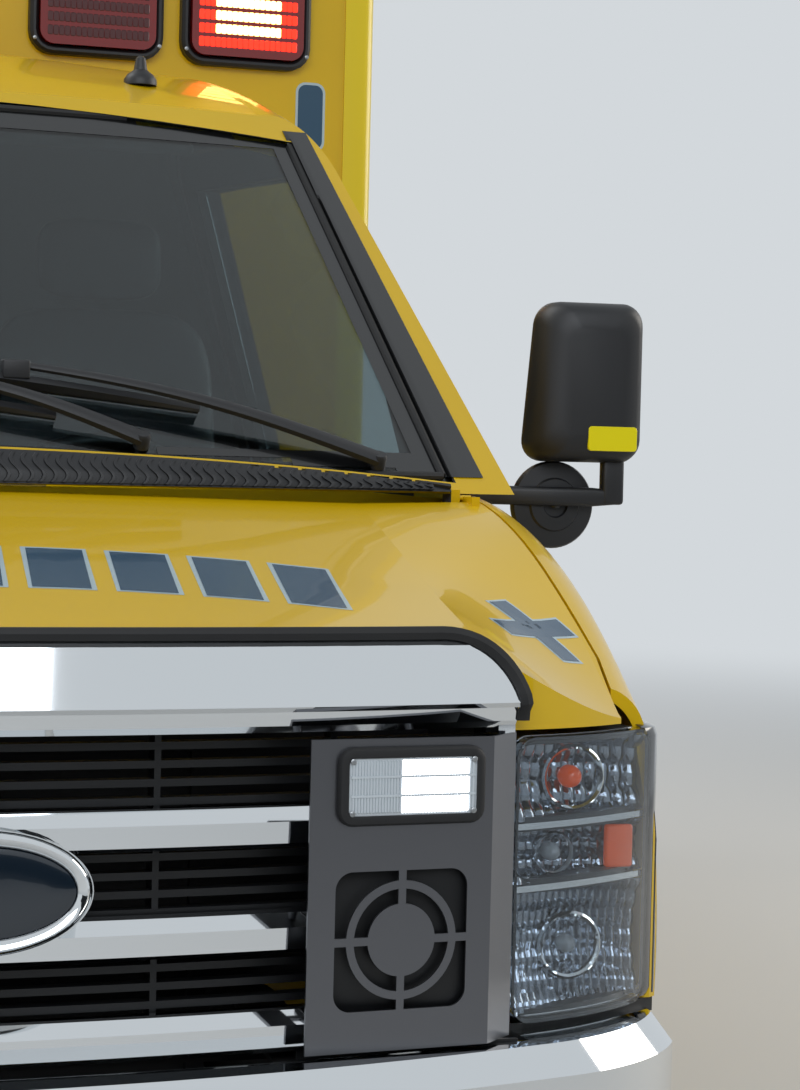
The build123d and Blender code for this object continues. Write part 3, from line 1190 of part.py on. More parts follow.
# Lamps on the box: red warning lamps, and clear scene and load lamps
lamp_width = 230.0
lamp_bottom, lamp_top = 2155.0, 2340.0
high_bottom, high_top = 2440.0, 2570.0
front_lamps = (502.0, 805.0)
side_lamps = (2470.0, 5830.0)
scene_lamps = (3560.0, 4900.0)
red_lights = []
clear_lights = []
for x in front_lamps:
    red_lights += both_sides(rounded_y(x, x + lamp_width, lamp_bottom, lamp_top, box_start - lens_depth,
                                       box_start - seat_gap, 28))
for y in side_lamps:
    red_lights += both_sides(rounded_x(y, y + lamp_width, high_bottom, high_top, half_box + seat_gap,
                                       half_box + lens_depth, 24))
for y in scene_lamps:
    clear_lights += both_sides(rounded_x(y, y + lamp_width, high_bottom, high_top, half_box + seat_gap,
                                         half_box + lens_depth, 24))
red_lights += both_sides(rounded_y(880, 880 + lamp_width, high_bottom, high_top, box_end + seat_gap,
                                   box_end + lens_depth, 24))
red_lights += both_sides(rounded_y(900, 1110, 900, 1000, box_end + seat_gap, box_end + lens_depth, 24))
clear_lights += both_sides(rounded_y(900, 1110, 1030, 1100, box_end + seat_gap, box_end + lens_depth, 24))
clear_lights += both_sides(rounded_y(250, 250 + lamp_width, 2480, 2580, box_end + seat_gap,
                                     box_end + lens_depth, 24))
panel_lean = (panel_fold_y - panel_inner_y) / (panel_fold_x - panel_inner_x)
panel_lamp = (436.0, 617.0, 929.0, 1010.0)
lamp_faces = [(x, panel_inner_y + (x - panel_inner_x) * panel_lean) for x in panel_lamp[:2]]
panel_led = plan_plate([(lamp_faces[0][0], lamp_faces[0][1] - 24), (lamp_faces[1][0], lamp_faces[1][1] - 24),
                        (lamp_faces[1][0], lamp_faces[1][1] - seat_gap),
                        (lamp_faces[0][0], lamp_faces[0][1] - seat_gap)], panel_lamp[2], panel_lamp[3])
clear_lights += both_sides(panel_led & rounded_y(*panel_lamp, 40, 200, 10))
write("red_lights", *red_lights)
write("clear_lights", *clear_lights)

# Rubber parts: arch trims, mud flaps and the boot between the cab and the box
arch_trim = wheel_drum(half_box + seat_gap, half_box + 14, rear_axle_at, box_arch + 38)
arch_trim = arch_trim - wheel_drum(half_box - 5, half_box + 20, rear_axle_at, box_arch)
arch_trim = arch_trim & block(1000, 1300, 4200, 5500, skirt_bottom + 6, 1000)
mud_flap = block(720, 1120, rear_axle_at + 500, rear_axle_at + 508, 190, underside - seat_gap)
boot = rounded_y(-passage_half - 50, passage_half + 50, passage_bottom - 50, passage_top + 50,
                 cab_end + seat_gap, box_start - seat_gap, 90)
boot = boot - rounded_y(-passage_half, passage_half, passage_bottom, passage_top, cab_end - 5, box_start + 5, 60)
write("rubber_parts", *both_sides(arch_trim), *both_sides(mud_flap), boot)

# Steps: cab running boards and the rear step
board_top = 430.0
board = rounded_z(900, 1085, 1300, 2270, board_top - 34, board_top, 26)
for y in (1400.0, 2120.0):
    board = board + block(915, 960, y, y + 30, board_top - 5, sill_z - seat_gap)
rear_step = rounded_z(-1150, 1150, box_end + seat_gap, box_end + rear_step_depth, 440, 500, 40)
for x in (-400.0, 400.0):
    rear_step = rear_step + block(x - 20, x + 20, rail_rear + seat_gap, box_end + 60, 470, 640)
write("steps", *both_sides(board), rear_step)

# Cab interior
dash_half = 862.0
dashboard = side_plate([(1090 + seat_gap, 1050), (1090 + seat_gap, 1255), (1200, 1282), (1300, 1268),
                        (1352, 1190), (1345, 1100), (1260, 1030)], -dash_half, dash_half)
dashboard = dashboard - block(-doghouse_half - seat_gap, doghouse_half + seat_gap, 1000, doghouse_end + 5,
                              700, doghouse_top + seat_gap)
wheel_centre = at(430, 1490, 1235)
column_foot = at(430, 1335, 1100)
column_axis = (wheel_centre - column_foot).normalized()
wheel_plane = Plane(wheel_centre, x_dir=(1, 0, 0), z_dir=column_axis)
hub_height = 30.0
column_pin_radius = 10.0
column_end = wheel_centre - column_axis * (hub_height / 2 + 5)
pin_end = wheel_centre + column_axis * 4
dashboard = dashboard + rod(column_foot, column_end, 26) + rod(column_foot, pin_end, column_pin_radius)
write("dashboard", dashboard)
steering_wheel = wheel_plane * Torus(190, 14) + wheel_plane * Cylinder(46, hub_height)
for turn in (0, 120, 240):
    spoke = wheel_plane * Rot(0, 0, 30 + turn) * Pos(110, 0, 0) * Box(150, 26, 12)
    steering_wheel = steering_wheel + spoke
steering_wheel = steering_wheel - rod(column_foot, pin_end + column_axis * 5, column_pin_radius + pin_gap)
write("steering_wheel", steering_wheel)
seat_x_from, seat_x_to = 345.0, 805.0
pedestal = block(seat_x_from + 50, seat_x_to - 50, 1540, 1950, floor_top + seat_gap, 940)
seat_cushion = rounded_x(1500, 1995, 930, 1070, seat_x_from, seat_x_to, 55)
seat_back = side_plate([(1905, 1030), (2030, 1640), (2120, 1640), (2060, 1000)], seat_x_from + 15, seat_x_to - 15)
head_rest = side_plate([(2035, 1640), (2055, 1800), (2130, 1800), (2118, 1638)], seat_x_from + 110, seat_x_to - 110)
seat = pedestal + seat_cushion + seat_back + head_rest
write("seats", *both_sides(seat))
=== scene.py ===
"""Looks for a box-bodied ambulance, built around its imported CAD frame."""

import logging
from dataclasses import dataclass, field
from enum import Enum
from math import copysign, cos, exp, pi, radians, sin

import bmesh
import bpy
from bmesh.types import BMesh
from mathutils import Matrix, Vector
from mathutils.bvhtree import BVHTree


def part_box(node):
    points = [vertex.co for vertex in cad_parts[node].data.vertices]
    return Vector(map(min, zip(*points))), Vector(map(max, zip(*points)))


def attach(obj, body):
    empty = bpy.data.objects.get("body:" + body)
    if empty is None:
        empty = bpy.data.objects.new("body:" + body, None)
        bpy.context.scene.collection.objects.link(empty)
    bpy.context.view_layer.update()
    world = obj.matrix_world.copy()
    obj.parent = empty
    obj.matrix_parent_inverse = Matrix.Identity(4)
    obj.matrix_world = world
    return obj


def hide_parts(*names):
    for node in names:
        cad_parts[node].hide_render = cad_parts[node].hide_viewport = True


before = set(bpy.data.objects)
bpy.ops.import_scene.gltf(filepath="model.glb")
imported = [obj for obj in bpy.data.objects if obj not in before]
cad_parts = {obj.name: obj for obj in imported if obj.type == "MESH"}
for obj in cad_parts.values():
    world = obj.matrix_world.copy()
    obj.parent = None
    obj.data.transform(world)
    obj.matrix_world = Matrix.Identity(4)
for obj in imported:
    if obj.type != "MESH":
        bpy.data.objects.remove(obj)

LOG = logging.getLogger("ambulance")
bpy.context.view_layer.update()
MM = 0.001
HALF_LENGTH = 3212.0
SIDES = (1, -1)

# The box's flat walls, in the millimetres of place()
BOX_FRONT = 2334.0
BOX_REAR = 6194.0
BOX_HALF = 1194.0
BOX_FOOT = 464.0
RAIL_Z = (2596.0, 2606.0)

# Ways to look for a skin: from in front of the bumper, from above, and how far out the rays start
FROM_FRONT = Vector((0, 1, 0))
FROM_ABOVE = Vector((0, 0, -1))
RAY_START = -200.0
TO_FRONT = Vector((0, -1, 0))


def place(x: float, distance: float, z: float) -> Vector:
    """A point from millimetres: left of the middle, behind the bumper's front, and up.

    Args:
        x: millimetres to the vehicle's left.
        distance: millimetres behind the front of the bumper.
        z: millimetres above the ground.

    Returns:
        The point in the frame, in metres.
    """
    return Vector((x * MM, (distance - HALF_LENGTH) * MM, z * MM))


def linear(hex_code: str, alpha: float = 1.0) -> tuple[float, float, float, float]:
    """Turns an sRGB hex colour to linear light.

    Args:
        hex_code: six digits, such as "E0BF05".
        alpha: the fourth value.

    Returns:
        Linear red, green, blue and alpha.
    """
    parts = [int(hex_code[i:i + 2], 16) / 255 for i in (0, 2, 4)]
    values = [p / 12.92 if p <= 0.04045 else ((p + 0.055) / 1.055) ** 2.4 for p in parts]
    return (*values, alpha)


def add_node(tree: bpy.types.NodeTree, kind: str, settings: dict | None = None, links: dict | None = None,
             **values: object) -> bpy.types.Node:
    """Adds a shader node with its settings, its input values and its links.

    Args:
        tree: the material's node tree.
        kind: Blender's name for the node.
        settings: attributes of the node.
        links: input name or number to the output socket that feeds it.
        values: input name, with _ for a space, to its value.

    Returns:
        The new node.
    """
    node = tree.nodes.new(kind)
    for key, value in (settings or {}).items():
        setattr(node, key, value)
    for key, value in values.items():
        node.inputs[key.replace("_", " ")].default_value = value
    for key, socket in (links or {}).items():
        tree.links.new(socket, node.inputs[key])
    return node


@dataclass(frozen=True)
class Finish:
    """A surface, named for the real stuff, with its base shader values.

    Grain is the size in millimetres of the bump's pattern, and its depth is in millimetres too.
    """

    name: str
    colour: str
    roughness: float = 0.5
    metallic: float = 0.0
    ior: float = 1.5
    coat: float = 0.0
    coat_roughness: float = 0.03
    transmission: float = 0.0
    grain: float = 0.0
    grain_depth: float = 0.0
    mottle: float = 0.0
    dirt: float = 0.0
    streak: tuple[float, float, float] | None = None
    glow: str | None = None
    glow_strength: float = 0.0
    slot: str | None = None

    def build(self) -> bpy.types.Material:
        """Makes the material.

        Returns:
            The material, with colour variation, dirt and bump as its values ask.
        """
        material = bpy.data.materials.new(self.name)
        material.use_nodes = True
        tree = material.node_tree
        shader = tree.nodes["Principled BSDF"]
        shader.inputs["Base Color"].default_value = linear(self.colour)
        shader.inputs["Roughness"].default_value = self.roughness
        shader.inputs["Metallic"].default_value = self.metallic
        if self.metallic < 0.5:
            shader.inputs["IOR"].default_value = self.ior
        shader.inputs["Coat Weight"].default_value = self.coat
        shader.inputs["Coat Roughness"].default_value = self.coat_roughness
        shader.inputs["Transmission Weight"].default_value = self.transmission
        if self.glow:
            shader.inputs["Emission Color"].default_value = linear(self.glow)
            shader.inputs["Emission Strength"].default_value = self.glow_strength
        where = add_node(tree, "ShaderNodeTexCoord").outputs["Object"]
        colour_socket = None
        if self.mottle > 0:
            noise = add_node(tree, "ShaderNodeTexNoise", links={"Vector": where}, Scale=3.5, Detail=4.0)
            ramp = add_node(tree, "ShaderNodeMapRange", links={"Value": noise.outputs["Fac"]}, From_Min=0.3,
                            From_Max=0.7, To_Min=1 - self.mottle, To_Max=1 + self.mottle)
            base = add_node(tree, "ShaderNodeRGB")
            base.outputs[0].default_value = linear(self.colour)
            scaled = add_node(tree, "ShaderNodeVectorMath", {"operation": "SCALE"},
                              {0: base.outputs[0], "Scale": ramp.outputs["Result"]})
            colour_socket = scaled.outputs["Vector"]
        if self.dirt > 0:
            height = add_node(tree, "ShaderNodeSeparateXYZ", links={"Vector": where}).outputs["Z"]
            low = add_node(tree, "ShaderNodeMapRange", links={"Value": height}, From_Min=0.15, From_Max=0.95,
                           To_Min=1.0, To_Max=0.12)
            noise = add_node(tree, "ShaderNodeTexNoise", links={"Vector": where}, Scale=7.0, Detail=6.0,
                             Roughness=0.65)
            spots = add_node(tree, "ShaderNodeMapRange", links={"Value": noise.outputs["Fac"]}, From_Min=0.42,
                             From_Max=0.78, To_Min=0.0, To_Max=self.dirt)
            amount = add_node(tree, "ShaderNodeMath", {"operation": "MULTIPLY"},
                              {0: low.outputs["Result"], 1: spots.outputs["Result"]})
            mix = add_node(tree, "ShaderNodeMix", {"data_type": "RGBA"}, {0: amount.outputs[0]})
            if colour_socket is None:
                mix.inputs[6].default_value = linear(self.colour)
            else:
                tree.links.new(colour_socket, mix.inputs[6])
            mix.inputs[7].default_value = linear("4A463E")
            colour_socket = mix.outputs[2]
        if colour_socket is not None:
            tree.links.new(colour_socket, shader.inputs["Base Color"])
        if self.grain > 0:
            vector = where
            if self.streak:
                vector = add_node(tree, "ShaderNodeMapping", links={"Vector": where},
                                  Scale=self.streak).outputs["Vector"]
            noise = add_node(tree, "ShaderNodeTexNoise", links={"Vector": vector}, Scale=1000 / self.grain,
                             Detail=3.0)
            bump = add_node(tree, "ShaderNodeBump", links={"Height": noise.outputs["Fac"]}, Strength=0.6,
                            Distance=self.grain_depth * MM)
            tree.links.new(bump.outputs["Normal"], shader.inputs["Normal"])
        return material


# Yellow two-pack enamel, sprayed: a deep lemon colour under a hard clear gloss
YELLOW = Finish("yellow_enamel_sprayed", "E2B800", 0.34, ior=1.36, coat=0.5, grain=2.2, grain_depth=0.02,
                mottle=0.03, dirt=0.10, slot="yellow_paint")
# Chromium plate, polished: a mirror with only the faintest haze
CHROME = Finish("chromium_plate_polished", "E4E7E9", 0.045, 1.0, slot="chrome_trim")
# Stainless steel sheet, brushed along its length: grey, with a soft, drawn-out shine
STAINLESS = Finish("stainless_sheet_brushed", "77787C", 0.34, 1.0, grain=0.9, grain_depth=0.02,
                   streak=(0.06, 1.0, 1.0), slot="stainless_panel")
# ABS, moulded with a fine grain: black, and slightly shiny where it turns to the light
BLACK_ABS = Finish("black_abs_moulded", "16171A", 0.48, ior=1.53, grain=1.1, grain_depth=0.05,
                   slot="black_plastic")
# Polypropylene, moulded: the dull black of the grille's mesh
MESH_BLACK = Finish("black_polypropylene_moulded", "0B0C0E", 0.42, ior=1.49, slot="black_plastic")
# Toughened glass: almost clear, with a faint green body
GLASS = Finish("toughened_glass", "A8B8BB", 0.02, transmission=1.0, slot="window_glass")
# Polycarbonate, moulded: the clear cover of a lamp
LAMP_CLEAR = Finish("clear_polycarbonate_moulded", "E6ECF0", 0.03, ior=1.42, transmission=1.0, slot="lamp_glass")
# Black chassis enamel, dipped: a soft sheen, dulled by road dirt
CHASSIS_BLACK = Finish("black_chassis_enamel", "1B1B1C", 0.5, coat=0.2, grain=3.0, grain_depth=0.08, mottle=0.15,
                       dirt=0.55, slot="black_frame_paint")
# Cast iron: grey and pitted from the sand mould
IRON = Finish("grey_iron_cast", "4A4744", 0.68, 0.7, grain=2.0, grain_depth=0.2, mottle=0.25, dirt=0.5,
              slot="cast_metal")
# Aluminium, forged, polished and lacquered: bright, with a slight haze and some brake dust
WHEEL = Finish("aluminium_forged_polished", "B4B8BC", 0.22, 1.0, grain=1.6, grain_depth=0.012, mottle=0.06,
               dirt=0.25, slot="polished_wheel")
# Tyre rubber, vulcanised in a mould: matt and nearly black, greyed by dust
TYRE = Finish("tyre_rubber_moulded", "1C1C1D", 0.72, ior=1.52, grain=1.4, grain_depth=0.08, mottle=0.2,
              dirt=0.35, slot="tyre_rubber")
# Aluminium sheet, as rolled: pale grey with a blurred shine
MILL_ALUMINIUM = Finish("aluminium_sheet_rolled", "9EA1A3", 0.42, 1.0, grain=1.5, grain_depth=0.03, mottle=0.1,
                        dirt=0.4, slot="floor_metal")
# Laminate, pressed: the pale cabinets of the patient room
LAMINATE = Finish("pressed_laminate", "C9C7BD", 0.35, grain=0.8, grain_depth=0.01, mottle=0.02,
                  slot="cabinet_laminate")
# EPDM rubber, extruded: dull black without a highlight
RUBBER = Finish("black_epdm_extruded", "131314", 0.66, ior=1.52, grain=1.2, grain_depth=0.04, dirt=0.25,
                slot="black_rubber")
# Dashboard skin, slush-moulded: a leather grain that breaks up the shine
DASH = Finish("grey_pvc_skin_moulded", "3A3B3D", 0.6, ior=1.53, grain=2.0, grain_depth=0.12, slot="dash_plastic")
# Coated seat fabric, calendered: dark, with a leather grain and a low sheen
VINYL = Finish("vinyl_calendered", "2B2D33", 0.5, ior=1.52, grain=2.4, grain_depth=0.18, mottle=0.05,
               slot="seat_vinyl")
# Acrylic lens in signal red, moulded: deep and glossy when unlit
RED_LENS = Finish("red_acrylic_moulded", "7E0A08", 0.08, ior=1.49, coat=0.6, slot="red_lens")
# The same lens over a lit lamp: it glows an orange red
RED_LIT = Finish("red_acrylic_lit", "FF1C10", 0.1, ior=1.49, glow="FF2A12", glow_strength=2.2, slot="red_lens")
# Lamp core seen through the lit lens: nearly white, with the red at its edge
CORE_LIT = Finish("lamp_core_lit", "FFE3A0", 0.3, glow="FFC46A", glow_strength=7.0, slot="red_lens")
# Clear acrylic lens, moulded with ribs: a milky silver by day
CLEAR_LENS = Finish("clear_acrylic_moulded", "CBD2D6", 0.1, ior=1.49, coat=0.5, slot="clear_lens")
# Clear lens of the working front lamp: white, brighter than the ribs beside it
WHITE_LIT = Finish("clear_acrylic_lit", "FFFFFF", 0.12, ior=1.49, glow="F2F7FF", glow_strength=3.2,
                   slot="clear_lens")
# Vinyl film, cut and laid on the paint: a flat blue with a pale edging, as glossy as the enamel
BLUE_FILM = Finish("blue_vinyl_film", "1F4A66", 0.2, coat=0.5, grain=2.2, grain_depth=0.01, slot="yellow_paint")
PALE_FILM = Finish("pale_vinyl_film", "B9CCD2", 0.24, coat=0.4, slot="yellow_paint")
# Reflective tape, pressed: a greenish yellow, with a faint painted glow that makes it look brighter than paint
MARKER_PAINTED_GLOW = Finish("yellow_reflective_tape_painted_glow", "E6D80A", 0.3, glow="D8C800", glow_strength=0.12, grain=1.5,
                grain_depth=0.04, slot="yellow_paint")
# Silvered glass: a clean mirror
MIRROR_GLASS = Finish("silvered_glass", "C9CED2", 0.02, 1.0, slot="chrome_trim")
# Metal vapour on moulded plastic: the sharp, dark and bright patches of a reflector
REFLECTOR = Finish("vapour_metal_reflector", "8E949C", 0.06, 1.0, slot="chrome_trim")
# Amber acrylic, moulded, with a faint painted glow that stands in for the daylight that seems to light it from
# inside
AMBER_PAINTED_GLOW = Finish("amber_acrylic_painted_glow", "D24E00", 0.12, ior=1.49, coat=0.5, glow="E05000", glow_strength=0.25,
               slot="clear_lens")
# The same yellow, made lighter on the box's extruded corner posts to paint the highlight that their turned faces
# catch
POST_YELLOW_PAINTED_HIGHLIGHT = Finish("yellow_enamel_painted_highlight", "EACD08", 0.34, ior=1.36, coat=0.5, grain=2.2, grain_depth=0.02,
                     slot="yellow_paint")
# Polycarbonate, smoked: the dark edge of a headlamp's cover
SMOKED = Finish("smoked_polycarbonate_moulded", "23262A", 0.1, ior=1.58, coat=0.7, slot="lamp_glass")
# Glass-filled polyester, moulded: the dark grey inside of the headlamps
LAMP_BODY = Finish("grey_polyester_moulded", "3A3D42", 0.3, ior=1.55, coat=0.3, grain=1.0, grain_depth=0.02,
                   slot="lamp_glass")
# Vitreous enamel: the dark gloss field of a blank badge
BADGE_DARK = Finish("dark_blue_enamel", "14202B", 0.16, coat=0.8, slot="chrome_trim")
# Quartz glass: a bulb with a bright edge
BULB = Finish("halogen_glass", "E8EEF2", 0.04, transmission=0.6, slot="lamp_glass")
# Ceramic print on the edge of the glass, fired black
FRIT = Finish("ceramic_print_fired", "0C0D0E", 0.22, coat=0.6, slot="window_glass")
# Felt on moulded board: a soft grey with no shine
HEADLINER = Finish("felt_headliner", "5B5C5E", 0.9, grain=2.0, grain_depth=0.2, mottle=0.05, slot="dash_plastic")
# The cells of an unlit lamp through its red lens: darker than the lens itself
RED_DARK = Finish("red_acrylic_cells", "4A0705", 0.14, ior=1.49, coat=0.5, slot="red_lens")
# Studio floor, painted a pale warm grey
FLOOR_PAINT = Finish("pale_floor_paint", "D4D3D0", 0.75)
# Black felt on a studio card
BLACK_FELT = Finish("black_felt_card", "1E2124", 0.95)
# Aluminium, powder-coated: the plain white skin of the patient room
ROOM_WHITE = Finish("white_powder_coat", "C4C6C4", 0.45, grain=1.5, grain_depth=0.02, mottle=0.02,
                    slot="cabinet_laminate")


class Shop:
    """Makes each finish once and hands it out."""

    def __init__(self) -> None:
        """Starts with an empty shelf."""
        self.made: dict[str, bpy.types.Material] = {}

    def get(self, finish: Finish) -> bpy.types.Material:
        """The material for a finish, made on first use."""
        if finish.name not in self.made:
            self.made[finish.name] = finish.build()
        return self.made[finish.name]


SHOP = Shop()


def dress_node(name: str, finish: Finish) -> None:
    """Gives a CAD node its finish.

    Args:
        name: the node's name.
        finish: what it is made of.
    """
    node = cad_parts[name]
    node.data.materials.clear()
    node.data.materials.append(SHOP.get(finish))


def line_node(name: str, finish: Finish, centre: Vector) -> None:
    """Gives the faces of a hollow CAD node that look towards a point a second finish.

    Args:
        name: the node's name.
        finish: the lining's finish.
        centre: a point inside the room.
    """
    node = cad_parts[name]
    node.data.materials.append(SHOP.get(finish))
    for polygon in node.data.polygons:
        towards = centre - polygon.center
        if polygon.normal.dot(towards.normalized()) > 0.12:
            polygon.material_index = 1


def make_object(name: str, mesh: BMesh, material: bpy.types.Material) -> bpy.types.Object:
    """Turns a finished mesh into an object with one material.

    Args:
        name: the object's name.
        mesh: its mesh, which is freed here.
        material: what it is made of.

    Returns:
        The new object, linked to the scene.
    """
    data = bpy.data.meshes.new(name)
    mesh.to_mesh(data)
    mesh.free()
    data.materials.append(material)
    made = bpy.data.objects.new(name, data)
    bpy.context.scene.collection.objects.link(made)
    return made


def new_piece(name: str, mesh: BMesh, finish: Finish, body: str = "chassis",
              sharp_degrees: float = 40.0) -> bpy.types.Object:
    """Turns a mesh into a piece that rides on a body.

    Args:
        name: the piece's name.
        mesh: its finished mesh, in metres in the frame; it is freed here.
        finish: what it is made of.
        body: the CAD body that it rides on.
        sharp_degrees: edges that turn more than this stay sharp.

    Returns:
        The new object.
    """
    bmesh.ops.recalc_face_normals(mesh, faces=mesh.faces[:])
    piece = make_object(name, mesh, SHOP.get(finish))
    data = piece.data
    data.shade_smooth()
    data.set_sharp_from_angle(angle=radians(sharp_degrees))
    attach(piece, body)
    LOG.info("%s: %d faces on %s", name, len(data.polygons), body)
    return piece


def add_box(mesh: BMesh, low: Vector, high: Vector, bevel: float = 0.0,
            turn: Matrix | None = None) -> list[bmesh.types.BMVert]:
    """Adds a box with bevelled edges to a mesh.

    Args:
        mesh: the mesh to add to.
        low: its lowest corner.
        high: its highest corner.
        bevel: the radius of its edges, in metres.
        turn: a matrix for the finished box.

    Returns:
        The box's vertices.
    """
    size = high - low
    matrix = Matrix.Translation((low + high) / 2) @ Matrix.Diagonal((size.x, size.y, size.z, 1))
    verts = bmesh.ops.create_cube(mesh, size=1, matrix=matrix)["verts"]
    if bevel > 0:
        edges = list({e for v in verts for e in v.link_edges})
        result = bmesh.ops.bevel(mesh, geom=edges, offset=bevel, segments=3, affect="EDGES", profile=0.5)
        verts = list({v for f in result["faces"] for v in f.verts} | {v for v in verts if v.is_valid})
    if turn is not None:
        bmesh.ops.transform(mesh, matrix=turn, verts=verts)
    return verts


def add_ring_stack(mesh: BMesh, rings: list[list[Vector]], looped: bool = False) -> None:
    """Skins a row of point rings, each with the same number of points.

    Args:
        mesh: the mesh to add to.
        rings: the rings in order.
        looped: whether the last ring meets the first; otherwise both end rings are filled.
    """
    made = [[mesh.verts.new(p) for p in ring] for ring in rings]
    count = len(rings[0])
    following = made[1:] + (made[:1] if looped else [])
    for near, far in zip(made, following):
        for i in range(count):
            j = (i + 1) % count
            mesh.faces.new((near[i], near[j], far[j], far[i]))
    if not looped:
        mesh.faces.new(made[0])
        mesh.faces.new(list(reversed(made[-1])))


def add_grid(mesh: BMesh, rows: list[list[Vector | None]]) -> None:
    """Skins a grid of points and leaves out the cells that lack a corner.

    Args:
        mesh: the mesh to add to.
        rows: the points row by row, with None where there is none.
    """
    made = [[None if p is None else mesh.verts.new(p) for p in row] for row in rows]
    for near, far in zip(made, made[1:]):
        for j in range(len(near) - 1):
            corners = (near[j], far[j], far[j + 1], near[j + 1])
            if all(corner is not None for corner in corners):
                mesh.faces.new(corners)


def thick(line: list[Vector], out: Vector, front: float, back: float) -> list[Vector]:
    """A closed ring round a line of points: it runs out on the front and comes back behind."""
    return [p + out * front for p in line] + [p - out * back for p in reversed(line)]


def circle(steps: int) -> list[tuple[float, float]]:
    """The cosine and sine of evenly spaced angles."""
    return [(cos(2 * pi * k / steps), sin(2 * pi * k / steps)) for k in range(steps)]


def upright_circle(x: float, distance: float, z: float, radius: float, steps: int,
                   side: int = 1) -> list[Vector]:
    """Points round a circle that faces forwards, in millimetres; a side of -1 runs it the other way."""
    return [place(x + radius * c * side, distance, z + radius * s) for c, s in circle(steps)]


def tube(mesh: BMesh, points: list[Vector], radius: float, sides: int = 12) -> None:
    """Adds a round tube along points.

    Args:
        mesh: the mesh to add to.
        points: the middle line.
        radius: its radius in metres.
        sides: points round it.
    """
    rings = []
    for i, point in enumerate(points):
        ahead = points[min(i + 1, len(points) - 1)] - points[max(i - 1, 0)]
        ahead.normalize()
        side = ahead.cross(Vector((0, 0, 1)))
        if side.length < 0.05:
            side = ahead.cross(Vector((1, 0, 0)))
        side.normalize()
        up = side.cross(ahead)
        rings.append([point + (side * c + up * s) * radius for c, s in circle(sides)])
    add_ring_stack(mesh, rings)


def side_name(side: int) -> str:
    """The word for a side."""
    return "left" if side > 0 else "right"


def span(a: float, b: float, side: int) -> tuple[float, float]:
    """Two x values carried to a side, the lower one first."""
    low, high = sorted((a * side, b * side))
    return low, high


class Surface:
    """A CAD node's skin, to lay pieces on."""

    def __init__(self, *names: str) -> None:
        """Builds the search tree over the named nodes."""
        verts, faces = [], []
        for name in names:
            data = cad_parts[name].data
            start = len(verts)
            verts += [v.co.copy() for v in data.vertices]
            faces += [[start + i for i in p.vertices] for p in data.polygons]
        self.tree = BVHTree.FromPolygons(verts, faces)

    def drop(self, origin: Vector, direction: Vector) -> tuple[Vector, Vector] | None:
        """Where a ray meets the skin.

        Args:
            origin: the ray's start.
            direction: its direction.

        Returns:
            The point and the outward normal, or None.
        """
        spot, normal, _, _ = self.tree.ray_cast(origin, direction.normalized())
        if spot is None:
            return None
        if normal.dot(direction) > 0:
            normal = -normal
        return spot, normal

    def foremost(self, spots: list[tuple[float, float]]) -> float | None:
        """How far forwards the skin comes at a few places.

        Args:
            spots: x and height of each place, in millimetres.

        Returns:
            The foremost y in metres, or None where there is no skin.
        """
        hits = [self.drop(place(x, RAY_START, z), FROM_FRONT) for x, z in spots]
        return min((hit[0].y for hit in hits if hit is not None), default=None)


class Look(Enum):
    """Which way a flat face of the vehicle looks: along or across it, and towards plus or minus."""

    FRONT = ("lengthways", -1)
    REAR = ("lengthways", 1)
    LEFT = ("sideways", 1)
    RIGHT = ("sideways", -1)


@dataclass(frozen=True)
class Face:
    """A flat face to build on. Level is where it lies: a distance for front and rear, or x for the sides."""

    look: Look
    level: float

    def at(self, a: float, b: float, c: float) -> Vector:
        """A point on or off the face.

        Args:
            a: x for front and rear, or the distance for the sides, in millimetres.
            b: the height in millimetres.
            c: millimetres out of the face.

        Returns:
            The point in the frame.
        """
        way, out = self.look.value
        if way == "lengthways":
            return place(a, self.level + c * out, b)
        return place(self.level + c * out, a, b)


FRONT_WALL = Face(Look.FRONT, BOX_FRONT)
REAR_WALL = Face(Look.REAR, BOX_REAR)


def side_wall(side: int) -> Face:
    """The box's wall on a side."""
    return Face(Look.LEFT if side > 0 else Look.RIGHT, BOX_HALF * side)


def rounded_rect(a0: float, a1: float, b0: float, b1: float, radius: float, steps: int = 5) -> list[tuple]:
    """The outline of a rounded rectangle.

    Args:
        a0: its low side.
        a1: its high side.
        b0: its bottom.
        b1: its top.
        radius: its corner radius.
        steps: pieces in each corner.

    Returns:
        The points in order, anticlockwise.
    """
    radius = max(min(radius, (a1 - a0) / 2 - 0.01, (b1 - b0) / 2 - 0.01), 0.01)
    points = []
    for cx, cy, turn in ((a1 - radius, b1 - radius, 0), (a0 + radius, b1 - radius, 90),
                         (a0 + radius, b0 + radius, 180), (a1 - radius, b0 + radius, 270)):
        for i in range(steps + 1):
            angle = radians(turn + 90 * i / steps)
            points.append((cx + radius * cos(angle), cy + radius * sin(angle)))
    return points


def add_plate(mesh: BMesh, face: Face, rect: tuple[float, float, float, float], c0: float,
              c1: float, radius: float = 10.0, bevel: float = 1.5) -> None:
    """Adds a rounded plate whose outer edge is bevelled.

    Args:
        mesh: the mesh to add to.
        face: the face that it lies on.
        rect: its sides, as low a, high a, low b and high b.
        c0: its back.
        c1: its front.
        radius: its corner radius.
        bevel: the width of its bevel.
    """
    a0, a1, b0, b1 = rect
    outer = rounded_rect(a0, a1, b0, b1, radius)
    inner = rounded_rect(a0 + bevel, a1 - bevel, b0 + bevel, b1 - bevel, radius - bevel)
    add_ring_stack(mesh, [[face.at(a, b, c0) for a, b in outer],
                          [face.at(a, b, c1 - bevel) for a, b in outer],
                          [face.at(a, b, c1) for a, b in inner]])


